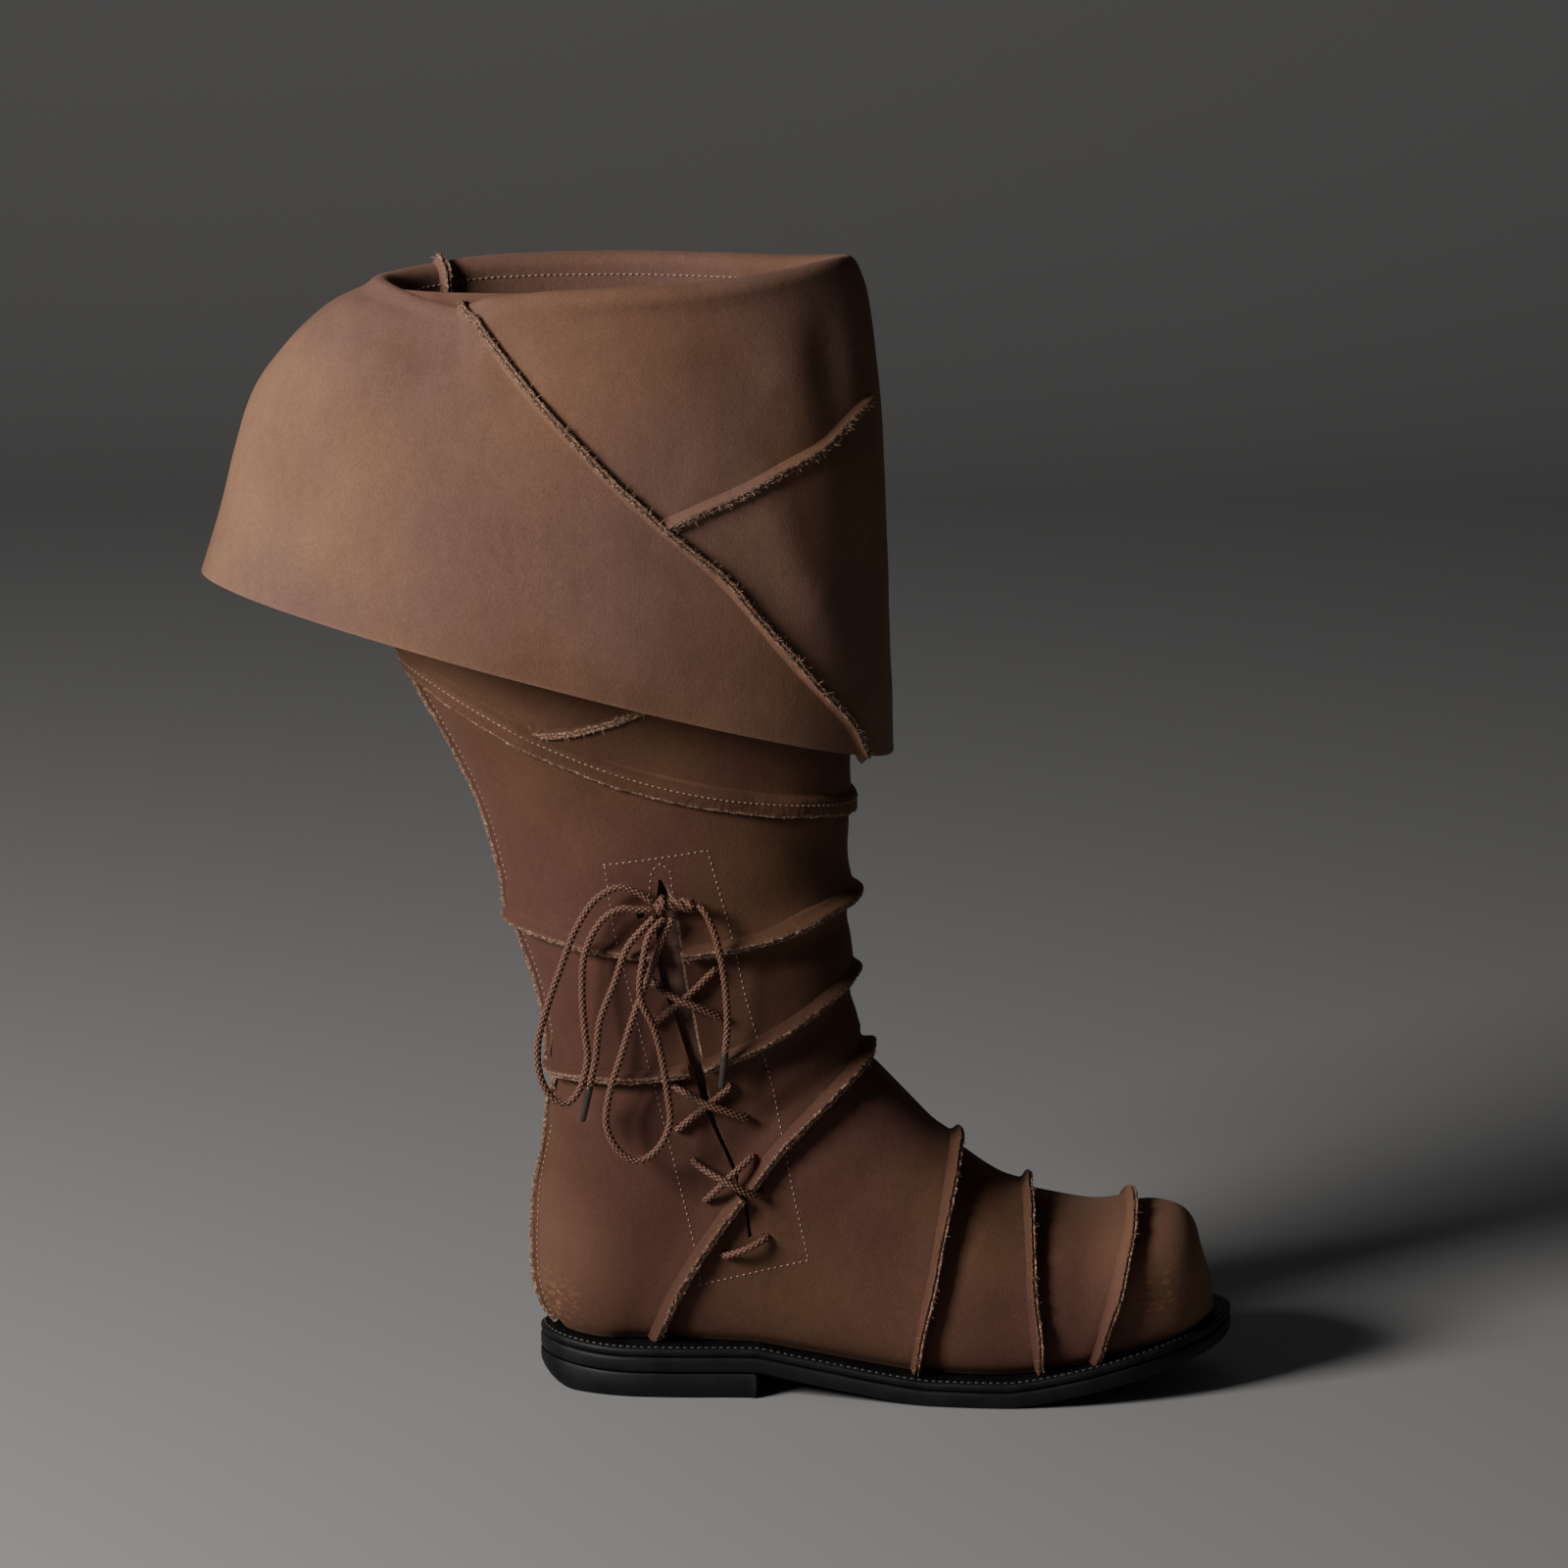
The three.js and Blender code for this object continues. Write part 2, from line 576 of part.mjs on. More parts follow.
// The tongue lies behind the slit, sewn to the inside of the upper along its own edge.
const tongueReach = 24;
const tonguePast = 10;
function tongueSolid() {
  const corner = (t, side) => {
    const p = besideSlit(t, side * tongueReach);
    return { x: p.x, z: p.z + (t === 0 ? tonguePast : -tonguePast) };
  };
  const outline = [
    corner(0, 1),
    ...[0.3, 0.6].map((t) => besideSlit(t, tongueReach)),
    corner(1, 1),
    corner(1, -1),
    ...[0.6, 0.3].map((t) => besideSlit(t, -tongueReach)),
    corner(0, -1),
  ];
  const depth = wall + gap;
  return leatherTube(depth, depth + tongueThickness, lastRow, false).intersect(sidePrism(outline, -12));
}

// The cuff's rings: from its tuck inside the collar, over the fold, and down to the hem.
// front and back are shares of the drop at the front and the back, with how far the ring has spread
// from the fold to the hem, and half widths as shares of the hem's width.
const CUFF_ROWS = [
  { drop: 0.055, front: 0.3, back: 0.24, width: 0.335, low: 2.1, high: 1.9 },
  { drop: 0.19, front: 0.5, back: 0.48, width: 0.385, low: 2.1, high: 2.0 },
  { drop: 0.36, front: 0.68, back: 0.68, width: 0.43, low: 2.1, high: 2.1 },
  { drop: 0.56, front: 0.82, back: 0.8, width: 0.462, low: 2.1, high: 2.2 },
  { drop: 0.78, front: 0.91, back: 0.89, width: 0.485, low: 2.1, high: 2.2 },
  { drop: 1.0, front: 1.0, back: 1.0, width: 0.5, low: 2.0, high: 2.2 },
];
const collar = sections[lastRow];
const foldOut = cuffFoldRadius * 2 - wall - gap - wall / 2;
const hemBack = cuffHemFront - cuffHemDepth;
const cuffSections = [
  {
    fx: collar.fx + foldOut + wall / 2,
    fz: collar.fz + wall / 2,
    bx: collar.bx - foldOut - wall / 2,
    bz: collar.bz + wall / 2,
    lateral: collar.lateral.map((w) => w + foldOut + wall / 2),
    medial: collar.medial.map((w) => w + foldOut + wall / 2),
    low: collar.low,
    high: collar.high,
    sag: [0, 0],
    bend: hemBend,
  },
  ...CUFF_ROWS.map((r) => ({
    fx: mix(collar.fx + foldOut, cuffHemFront, r.front),
    fz: collar.fz - r.drop * cuffDropFront,
    bx: mix(collar.bx - foldOut, hemBack, r.back),
    bz: collar.bz - r.drop * cuffDropBack,
    lateral: [r.width * cuffHemWidth, r.width * cuffHemWidth * 0.97],
    medial: [r.width * cuffHemWidth, r.width * cuffHemWidth * 0.97],
    low: r.low,
    high: r.high,
    sag: [-cuffHemLift * r.drop, cuffHemDip * r.drop],
    bend: hemBend,
  })),
];

// One ring of the fold: its middle line stands off the collar's outer face by offset, at a height.
function foldRing(offset, height, half) {
  return angles
    .filter((a) => a.rise === 0)
    .map((a) => {
      const f = faceOf(sections, lastRow, a.angle);
      const level = new THREE.Vector3(f.out.x, f.out.y, 0).normalize();
      return f.point
        .add(new THREE.Vector3(0, a.side * backSpread, height))
        .addScaledVector(level, offset + half);
    });
}

// The cuff's lowest ring inside the collar.
function tuckRing(depth) {
  const v = lastRow - cuffTuck / (collarHeight - sections[lastRow - 1].fz);
  return angles
    .filter((a) => a.rise === 0)
    .map((a) => {
      const f = faceOf(sections, v, a.angle);
      return f.point.add(new THREE.Vector3(0, a.side * backSpread, 0)).addScaledVector(f.out, -depth);
    });
}

function cuffRing(v, depth) {
  return angles
    .filter((a) => a.rise === 0)
    .map((a) => {
      const f = faceOf(cuffSections, v, a.angle);
      return f.point.add(new THREE.Vector3(0, a.side * backSpread, 0)).addScaledVector(f.out, -depth);
    });
}

// Points on the cuff's outer face on one side, at places in x and z.
function cuffFace(x, z, side) {
  let best = null;
  const last = cuffSections.length - 1;
  const angleSteps = 90;
  const rowSteps = 16;
  for (let i = 0; i <= last * rowSteps; i += 1) {
    for (let j = 1; j < angleSteps; j += 1) {
      const angle = (side * Math.PI * j) / angleSteps;
      const p = sectionPoint(rowAt(cuffSections, i / rowSteps), angle);
      const d = (p.x - x) ** 2 + (p.z - z) ** 2;
      if (!best || d < best.d) best = { d, v: i / rowSteps, angle };
    }
  }
  return faceOf(cuffSections, best.v, best.angle);
}

// A raised raw seam swept over the leather, from faces along its path.
function seamStrip(faces) {
  const loops = faces.map((f, i) => {
    const before = faces[Math.max(i - 1, 0)].point;
    const after = faces[Math.min(i + 1, faces.length - 1)].point;
    const along = after.clone().sub(before).normalize();
    const side = new THREE.Vector3().crossVectors(along, f.out).normalize();
    const corner = (across, up) =>
      f.point
        .clone()
        .addScaledVector(side, (across * seamWidth) / 2)
        .addScaledVector(f.out, up);
    return [
      corner(-1, -wall / 2),
      corner(1, -wall / 2),
      corner(0.5, seamHeight),
      corner(-0.5, seamHeight),
    ];
  });
  return solidFromLoops(loops);
}

const seamSteps = 12;

// The cuff's seams as shares: x of the hem's depth from its back, z of the front drop below the collar.
const CUFF_SEAM = [
  { x: 0.395, z: 0.039 },
  { x: 0.447, z: 0.147 },
  { x: 0.537, z: 0.291 },
  { x: 0.647, z: 0.45 },
  { x: 0.75, z: 0.584 },
  { x: 0.853, z: 0.764 },
  { x: 0.935, z: 0.911 },
  { x: 0.952, z: 0.957 },
];
const CUFF_BRANCH = [
  { x: 0.68, z: 0.466 },
  { x: 0.729, z: 0.44 },
  { x: 0.784, z: 0.408 },
  { x: 0.84, z: 0.369 },
  { x: 0.895, z: 0.331 },
  { x: 0.934, z: 0.285 },
  { x: 0.9625, z: 0.248 },
];

function cuffSolid() {
  const outside = [];
  const inside = [];
  const tuck = -(wall + gap + wall / 2);
  const half = wall / 2;
  const lastV = cuffSections.length - 1;
  outside.push(tuckRing(wall * 2 + gap), foldRing(tuck, gap, -half));
  inside.push(tuckRing(wall + gap), foldRing(tuck, gap, half));
  const middle = tuck + cuffFoldRadius;
  for (const turn of [0.25, 0.5, 0.75]) {
    const a = Math.PI * turn;
    const ring = (r) => foldRing(middle - Math.cos(a) * r, gap + Math.sin(a) * r, 0);
    outside.push(ring(cuffFoldRadius + half));
    inside.push(ring(cuffFoldRadius - half));
  }
  for (let v = 0; v <= lastV; v += v < 1 ? 0.5 : 1) {
    outside.push(cuffRing(v, 0));
    inside.push(cuffRing(v, wall));
  }
  const loops = [...outside, ...inside.reverse()];
  loops.push(loops[0]);
  let solid = solidFromLoops(loops, "joined");
  const place = (p) => new THREE.Vector3(hemBack + p.x * cuffHemDepth, 0, collar.fz - p.z * cuffDropFront);
  const route = (path) => new THREE.CatmullRomCurve3(path.map(place)).getPoints(seamSteps);
  for (const [path, side] of [
    [CUFF_SEAM, 1],
    [CUFF_BRANCH, 1],
    [CUFF_SEAM, -1],
  ]) {
    solid = solid.add(seamStrip(route(path).map((p) => cuffFace(p.x, p.z, side))));
  }
  return solid;
}

// Laces: round braided cord. The strands between two holes follow the leather.
function cordPath(points) {
  return points.map((p) => new THREE.Vector3(p.x, lateralY(p.x, p.z) - laceDiameter / 2 - p.lift, p.z));
}

function cordGeometry(points, diameter, steps) {
  const sides = 8;
  const ring = new THREE.Shape(
    Array.from({ length: sides }, (_, i) => {
      const a = (full * i) / sides;
      return new THREE.Vector2((Math.cos(a) * diameter) / 2, (Math.sin(a) * diameter) / 2);
    }),
  );
  return new THREE.ExtrudeGeometry(ring, {
    extrudePath: new THREE.CatmullRomCurve3(points),
    steps,
    bevelEnabled: false,
    curveSegments: 1,
  });
}

// One strand of a crossing, from hole to hole, arched clear of the seams that it passes.
function strand(from, to, lift) {
  const places = [0, 0.25, 0.5, 0.75, 1].map((t) => ({
    x: mix(from.x, to.x, t),
    z: mix(from.z, to.z, t),
    lift: lift * Math.sin(Math.PI * t),
  }));
  return solidOf(cordGeometry(cordPath(places), laceDiameter, 5));
}

const seamClear = seamHeight + gap;
const CROSSINGS = [
  { name: "lace_cross_upper", top: 1, bottom: 2, lift: 2.2 },
  { name: "lace_cross_middle", top: 3, bottom: 4, lift: 2.2 },
  { name: "lace_cross_lower", top: 5, bottom: 6, lift: 1.75 * seamClear },
];

// The bow. Its cords hang from the knot, and their points are millimetres from the knot's middle.
const KNOT = { x: 0.113, z: 0.459, long: 18, deep: 9.2, tall: 8, lift: 0.4 };
const LOOP_A = [
  { x: -9.6, y: -1.0, z: 2.3 },
  { x: -15.0, y: -1.5, z: 6.2 },
  { x: -22.5, y: -1.5, z: 8.5 },
  { x: -32.0, y: -1.0, z: 4.0 },
  { x: -41.0, y: 0.0, z: -9.0 },
  { x: -48.5, y: 2.0, z: -28.5 },
  { x: -54.5, y: 3.0, z: -46.5 },
  { x: -58.0, y: 4.0, z: -61.5 },
  { x: -57.0, y: 4.0, z: -75.0 },
  { x: -51.5, y: 4.0, z: -85.0 },
  { x: -45.5, y: 4.0, z: -86.5 },
  { x: -40.5, y: 4.0, z: -81.0 },
  { x: -37.0, y: 4.0, z: -67.5 },
  { x: -38.0, y: 3.5, z: -55.5 },
  { x: -39.0, y: 2.5, z: -37.5 },
  { x: -37.5, y: 1.0, z: -20.0 },
  { x: -30.0, y: -1.0, z: -5.5 },
  { x: -22.0, y: -1.5, z: -0.8 },
  { x: -15.0, y: -1.5, z: -1.2 },
  { x: -9.6, y: -1.0, z: -1.4 },
];
const LOOP_B = [
  { x: -0.4, y: -1.0, z: -4.9 },
  { x: -4.0, y: -1.0, z: -12.0 },
  { x: -8.0, y: -0.5, z: -22.0 },
  { x: -10.5, y: 0.0, z: -30.0 },
  { x: -17.0, y: 1.5, z: -47.5 },
  { x: -22.5, y: 3.0, z: -65.5 },
  { x: -27.5, y: 4.0, z: -82.0 },
  { x: -29.0, y: 4.0, z: -97.0 },
  { x: -23.0, y: 4.0, z: -108.5 },
  { x: -15.0, y: 4.0, z: -112.0 },
  { x: -7.0, y: 4.0, z: -106.5 },
  { x: -2.0, y: 4.0, z: -95.5 },
  { x: -3.0, y: 3.0, z: -82.0 },
  { x: -5.0, y: 1.0, z: -68.0 },
  { x: -8.5, y: -2.0, z: -52.5 },
  { x: -13.0, y: -3.5, z: -42.5 },
  { x: -14.5, y: -4.5, z: -34.5 },
  { x: -13.0, y: -5.0, z: -22.5 },
  { x: -10.5, y: -4.5, z: -12.0 },
  { x: -7.0, y: -3.0, z: -7.5 },
  { x: -4.2, y: -1.5, z: -5.2 },
];
const END_A = [
  { x: -8.2, y: -1.0, z: -4.6 },
  { x: -13.0, y: -1.0, z: -9.5 },
  { x: -19.5, y: -0.5, z: -17.5 },
  { x: -25.5, y: 0.5, z: -34.0 },
  { x: -31.5, y: 2.0, z: -50.5 },
  { x: -33.5, y: 3.0, z: -67.0 },
  { x: -36.0, y: 3.5, z: -79.0 },
];
const END_B = [
  { x: 10.2, y: -1.0, z: 0.8 },
  { x: 13.0, y: -2.0, z: -2.0 },
  { x: 16.5, y: -2.0, z: -9.5 },
  { x: 19.5, y: -1.5, z: -20.5 },
  { x: 22.0, y: 1.0, z: -38.0 },
  { x: 22.5, y: 3.5, z: -55.0 },
  { x: 21.5, y: 4.5, z: -65.0 },
];
const BOW = [
  { name: "lace_loop_a", points: LOOP_A, steps: 28 },
  { name: "lace_loop_b", points: LOOP_B, steps: 28 },
  { name: "lace_end_a", points: END_A, steps: 14, tip: "aglet_a" },
  { name: "lace_end_b", points: END_B, steps: 12, tip: "aglet_b" },
];
const knotAt = (() => {
  const [x, z] = [KNOT.x * shaftDepth, KNOT.z * collarHeight];
  return new THREE.Vector3(x, lateralY(x, z) - KNOT.deep / 2 - KNOT.lift, z);
})();
const fromKnot = (points) => points.map((p) => new THREE.Vector3(p.x, p.y, p.z).add(knotAt));

const leather = new THREE.MeshStandardMaterial({ color: 0x6b4636, roughness: 0.85, metalness: 0 });
const rawLeather = new THREE.MeshStandardMaterial({ color: 0x4a3024, roughness: 0.9, metalness: 0 });
const rubber = new THREE.MeshStandardMaterial({ color: 0x17181a, roughness: 0.55, metalness: 0 });
const cord = new THREE.MeshStandardMaterial({ color: 0x4b2f22, roughness: 0.8, metalness: 0 });
const tipPlastic = new THREE.MeshStandardMaterial({ color: 0x201814, roughness: 0.3, metalness: 0 });

const boot = new THREE.Group();
function piece(name, geometry, material) {
  const mesh = new THREE.Mesh(geometry, material);
  mesh.name = name;
  boot.add(mesh);
}

// The sole, from the floor up.
const soleEdge = soleOutline(sideLedge, toeLedge);
const soleStations = stationsOf(soleEdge, 23);
const heelStations = soleStations.filter((x) => x <= breast);
const heelLow = (x) => heelBevel * clamp(1 - (x - soleStations[0]) / (2 * heelBevel), 0, 1) ** 2;
const soleTop = (x) => soleLift(x) + outsoleThickness;
piece(
  "heel",
  geometryFrom(plate(soleEdge, heelLow, (x) => soleLift(x) - gap, heelStations, { low: 1, high: 0.4 })),
  rubber,
);
piece("outsole", geometryFrom(plate(soleEdge, soleLift, soleTop, soleStations, { low: 1, high: 0.6 })), rubber);
piece(
  "midsole",
  geometryFrom(
    plate(soleEdge, (x) => soleTop(x) + gap, (x) => featherZ(x) - gap, soleStations, { low: 0.4, high: 1 }),
  ),
  rubber,
);

// The insole fills the bottom of the upper, trimmed to its wall.
const insoleTop = (x) => featherZ(x) + insoleThickness;
const insoleBlank = plate(soleEdge, featherZ, insoleTop, soleStations, { low: 0.4, high: 0.4 });
piece("insole", geometryFrom(insoleBlank.intersect(insideOfUpper(wall + 2 * gap))), rawLeather);

piece("upper", geometryFrom(upperSolid()), leather);
piece("tongue", geometryFrom(tongueSolid()), rawLeather);
piece("cuff", geometryFrom(cuffSolid()), leather);

for (const c of CROSSINGS) {
  const [top, bottom] = [holes[c.top], holes[c.bottom]];
  const joined = strand(top.back, bottom.front, c.lift).add(strand(top.front, bottom.back, c.lift));
  piece(c.name, geometryFrom(joined), cord);
}
const lowest = holes[holes.length - 1];
piece("lace_bar", geometryFrom(strand(lowest.back, lowest.front, seamClear)), cord);

const KNOT_RINGS = [
  { deep: -0.5, size: 0.75 },
  { deep: -0.3, size: 1 },
  { deep: 0.3, size: 1 },
  { deep: 0.5, size: 0.75 },
];
const knotSides = 16;
const knotLoops = KNOT_RINGS.map((r) =>
  Array.from({ length: knotSides }, (_, i) => {
    const a = (full * i) / knotSides;
    const [c, w] = [Math.cos(a), Math.sin(a)];
    const across = (Math.sign(c) * Math.sqrt(Math.abs(c)) * r.size * KNOT.long) / 2;
    const up = (Math.sign(w) * Math.sqrt(Math.abs(w)) * r.size * KNOT.tall) / 2;
    return new THREE.Vector3(across, r.deep * KNOT.deep, up).add(knotAt);
  }),
);
piece("lace_knot", geometryFrom(solidFromLoops(knotLoops)), cord);
for (const c of BOW) {
  const points = fromKnot(c.points);
  piece(c.name, geometryFrom(solidOf(cordGeometry(points, laceDiameter, c.steps))), cord);
  if (!c.tip) continue;
  const end = points[points.length - 1];
  const way = end.clone().sub(points[points.length - 2]).normalize();
  const aglet = [end.clone().addScaledVector(way, gap), end.clone().addScaledVector(way, gap + agletLength)];
  piece(c.tip, geometryFrom(solidOf(cordGeometry(aglet, agletDiameter, 1))), tipPlastic);
}

export default boot;
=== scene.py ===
# A folk boot for the right foot: soft brown nubuck sewn with its raw edges outside, a wide cuff
# folded down over the shaft, a side slit closed by a braided lace, and a black rubber sole.
# Sizes are in millimetres, as in the part's source, and turn into metres when a mesh is made.
import math

import bmesh
import bpy
import numpy as np
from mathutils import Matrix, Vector, noise


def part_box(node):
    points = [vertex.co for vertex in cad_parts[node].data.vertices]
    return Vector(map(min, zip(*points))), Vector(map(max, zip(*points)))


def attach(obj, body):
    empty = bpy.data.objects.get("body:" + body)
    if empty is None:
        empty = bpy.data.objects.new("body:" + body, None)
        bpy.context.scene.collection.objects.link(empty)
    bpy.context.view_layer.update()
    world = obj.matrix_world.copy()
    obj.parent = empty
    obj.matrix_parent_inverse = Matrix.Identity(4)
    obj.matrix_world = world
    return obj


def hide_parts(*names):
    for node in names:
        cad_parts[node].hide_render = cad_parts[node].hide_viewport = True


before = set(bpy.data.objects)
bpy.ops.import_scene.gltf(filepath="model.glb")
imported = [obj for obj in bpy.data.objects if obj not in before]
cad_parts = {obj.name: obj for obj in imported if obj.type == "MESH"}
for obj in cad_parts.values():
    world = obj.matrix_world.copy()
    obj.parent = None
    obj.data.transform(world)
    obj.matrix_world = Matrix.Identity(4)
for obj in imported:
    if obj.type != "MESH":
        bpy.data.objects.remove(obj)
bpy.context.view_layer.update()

# Sole
# Three layers of black sole rubber, glued and stitched: the midsole with its sewn ledge round the
# upper, the outsole that springs up at the toe, and a low heel lift with a rounded back corner.
LAST_LENGTH = 287.0
LAST_BACK = -33.5  # the boot stands with the origin under its heel
LAST_FRONT = LAST_BACK + LAST_LENGTH
BALL_WIDTH = 98.0
HEEL_LIFT = 11.0
HEEL_LENGTH = 95.0
HEEL_BEVEL = 8.0
OUTSOLE_THICKNESS = 7.0
MIDSOLE_THICKNESS = 4.0
TOE_SPRING = 21.0
HEEL_SEAT_RISE = 3.0
SIDE_LEDGE = 4.0
TOE_LEDGE = 10.0
TREAD_BACK = 131.0
TREAD_FRONT = 165.0
BREAST = LAST_BACK - SIDE_LEDGE + HEEL_LENGTH
GAP = 0.3
LAST_EDGE = [
    {"along": 0.015, "lateral": 0.13, "medial": 0.13},
    {"along": 0.05, "lateral": 0.225, "medial": 0.22},
    {"along": 0.11, "lateral": 0.3, "medial": 0.29},
    {"along": 0.19, "lateral": 0.325, "medial": 0.31},
    {"along": 0.3, "lateral": 0.33, "medial": 0.285},
    {"along": 0.42, "lateral": 0.375, "medial": 0.26},
    {"along": 0.54, "lateral": 0.445, "medial": 0.33},
    {"along": 0.64, "lateral": 0.49, "medial": 0.44},
    {"along": 0.72, "lateral": 0.5, "medial": 0.49},
    {"along": 0.8, "lateral": 0.48, "medial": 0.49},
    {"along": 0.88, "lateral": 0.405, "medial": 0.445},
    {"along": 0.94, "lateral": 0.295, "medial": 0.355},
    {"along": 0.98, "lateral": 0.165, "medial": 0.24},
]
TOE_APEX = 0.05


def sole_lift(x):
    """Floor to the outsole's underside."""
    seat = np.clip(-x / -(LAST_BACK - SIDE_LEDGE), 0, 1)
    arch = np.clip((TREAD_BACK - x) / (TREAD_BACK - BREAST), 0, 1)
    toe = np.clip((x - TREAD_FRONT) / (LAST_FRONT + TOE_LEDGE - TREAD_FRONT), 0, 1)
    return HEEL_SEAT_RISE * seat**2 + HEEL_LIFT * arch**1.25 + TOE_SPRING * toe**1.2


def ledge_top(x):
    """Floor to the top of the midsole, where the upper stands."""
    return sole_lift(x) + OUTSOLE_THICKNESS + MIDSOLE_THICKNESS + GAP


def round_curve(points, per_span, closed=False):
    """A smooth line through points, with its knots spaced by the square root of their distance."""
    p = np.asarray(points, float)
    n = len(p)
    spans = n if closed else n - 1
    pick = (lambda i: p[i % n]) if closed else (lambda i: p[min(max(i, 0), n - 1)])
    out = []
    for i in range(spans):
        a, b, c, d = pick(i - 1), pick(i), pick(i + 1), pick(i + 2)
        if not closed and i == 0:
            a = 2 * b - c
        if not closed and i == spans - 1:
            d = 2 * c - b
        t0 = 0.0
        t1 = t0 + math.sqrt(max(np.linalg.norm(b - a), 1e-6))
        t2 = t1 + math.sqrt(max(np.linalg.norm(c - b), 1e-6))
        t3 = t2 + math.sqrt(max(np.linalg.norm(d - c), 1e-6))
        for t in np.linspace(t1, t2, per_span, endpoint=False):
            a1 = (t1 - t) / (t1 - t0) * a + (t - t0) / (t1 - t0) * b
            a2 = (t2 - t) / (t2 - t1) * b + (t - t1) / (t2 - t1) * c
            a3 = (t3 - t) / (t3 - t2) * c + (t - t2) / (t3 - t2) * d
            b1 = (t2 - t) / (t2 - t0) * a1 + (t - t0) / (t2 - t0) * a2
            b2 = (t3 - t) / (t3 - t1) * a2 + (t - t1) / (t3 - t1) * a3
            out.append((t2 - t) / (t2 - t1) * b1 + (t - t1) / (t2 - t1) * b2)
    if not closed:
        out.append(p[-1])
    return np.array(out)


def unit(ways):
    """Ways of length one."""
    return ways / np.linalg.norm(ways, axis=-1, keepdims=True)


def sole_outline(side, toe):
    """The last's bottom edge moved out by the ledge, from the back round the lateral side."""
    rows = LAST_EDGE
    at = lambda along, y: (LAST_BACK + along * LAST_LENGTH, y * BALL_WIDTH)
    points = [at(0, 0)] + [at(r["along"], -r["lateral"]) for r in rows]
    points += [at(1, TOE_APEX)] + [at(r["along"], r["medial"]) for r in reversed(rows)]
    line = round_curve(points, 16, closed=True)
    along = unit(np.roll(line, -1, axis=0) - np.roll(line, 1, axis=0))
    share = np.clip((line[:, 0] - TREAD_FRONT) / (LAST_FRONT - TREAD_FRONT), 0, 1) ** 2
    ledge = side + (toe - side) * share
    return line + np.stack([along[:, 1], -along[:, 0]], axis=1) * ledge[:, None]


def placed(name, data):
    """An object in the scene, unturned and unscaled."""
    item = bpy.data.objects.new(name, data)
    bpy.context.collection.objects.link(item)
    return item


def mesh_piece(name, vertices, faces, materials, indices=None, smooth_angle=40):
    """A piece of the boot in metres, shaded smooth except along its sharp edges."""
    mesh = bpy.data.meshes.new(name)
    mesh.from_pydata([tuple(v) for v in np.asarray(vertices) * 0.001], [], faces)
    mesh.validate()
    for material in materials:
        mesh.materials.append(material)
    if indices is not None:
        mesh.polygons.foreach_set("material_index", indices)
    shape = bmesh.new()
    shape.from_mesh(mesh)
    bmesh.ops.remove_doubles(shape, verts=shape.verts, dist=1e-6)
    bmesh.ops.recalc_face_normals(shape, faces=shape.faces)
    shape.to_mesh(mesh)
    shape.free()
    mesh.shade_smooth()
    mesh.set_sharp_from_angle(angle=math.radians(smooth_angle))
    return placed(name, mesh)


def finished(piece, slot, *nodes):
    """The piece rides with the boot and takes the place of its plain solids; its slot is not used."""
    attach(piece, "root")
    if nodes:
        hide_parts(*nodes)


def loft(rings, closed_along=False):
    """Vertices and four-sided faces of a skin through rings of equal length."""
    count = len(rings[0])
    vertices = np.concatenate(rings)
    faces = []
    last = len(rings) if closed_along else len(rings) - 1
    for i in range(last):
        for j in range(count):
            a, b = i * count + j, i * count + (j + 1) % count
            c = ((i + 1) % len(rings)) * count
            faces.append((a, b, c + (j + 1) % count, c + j))
    return vertices, faces


def node_group(name, inputs, outputs):
    """An empty shader group with named sockets, its tree, what it is given and its end."""
    group = bpy.data.node_groups.new(name, "ShaderNodeTree")
    for socket, kind, value in inputs:
        made = group.interface.new_socket(socket, in_out="INPUT", socket_type=kind)
        if value is not None:
            made.default_value = value
    for socket, kind in outputs:
        group.interface.new_socket(socket, in_out="OUTPUT", socket_type=kind)
    given = group.nodes.new("NodeGroupInput").outputs
    return group, Tree(group), given, group.nodes.new("NodeGroupOutput")


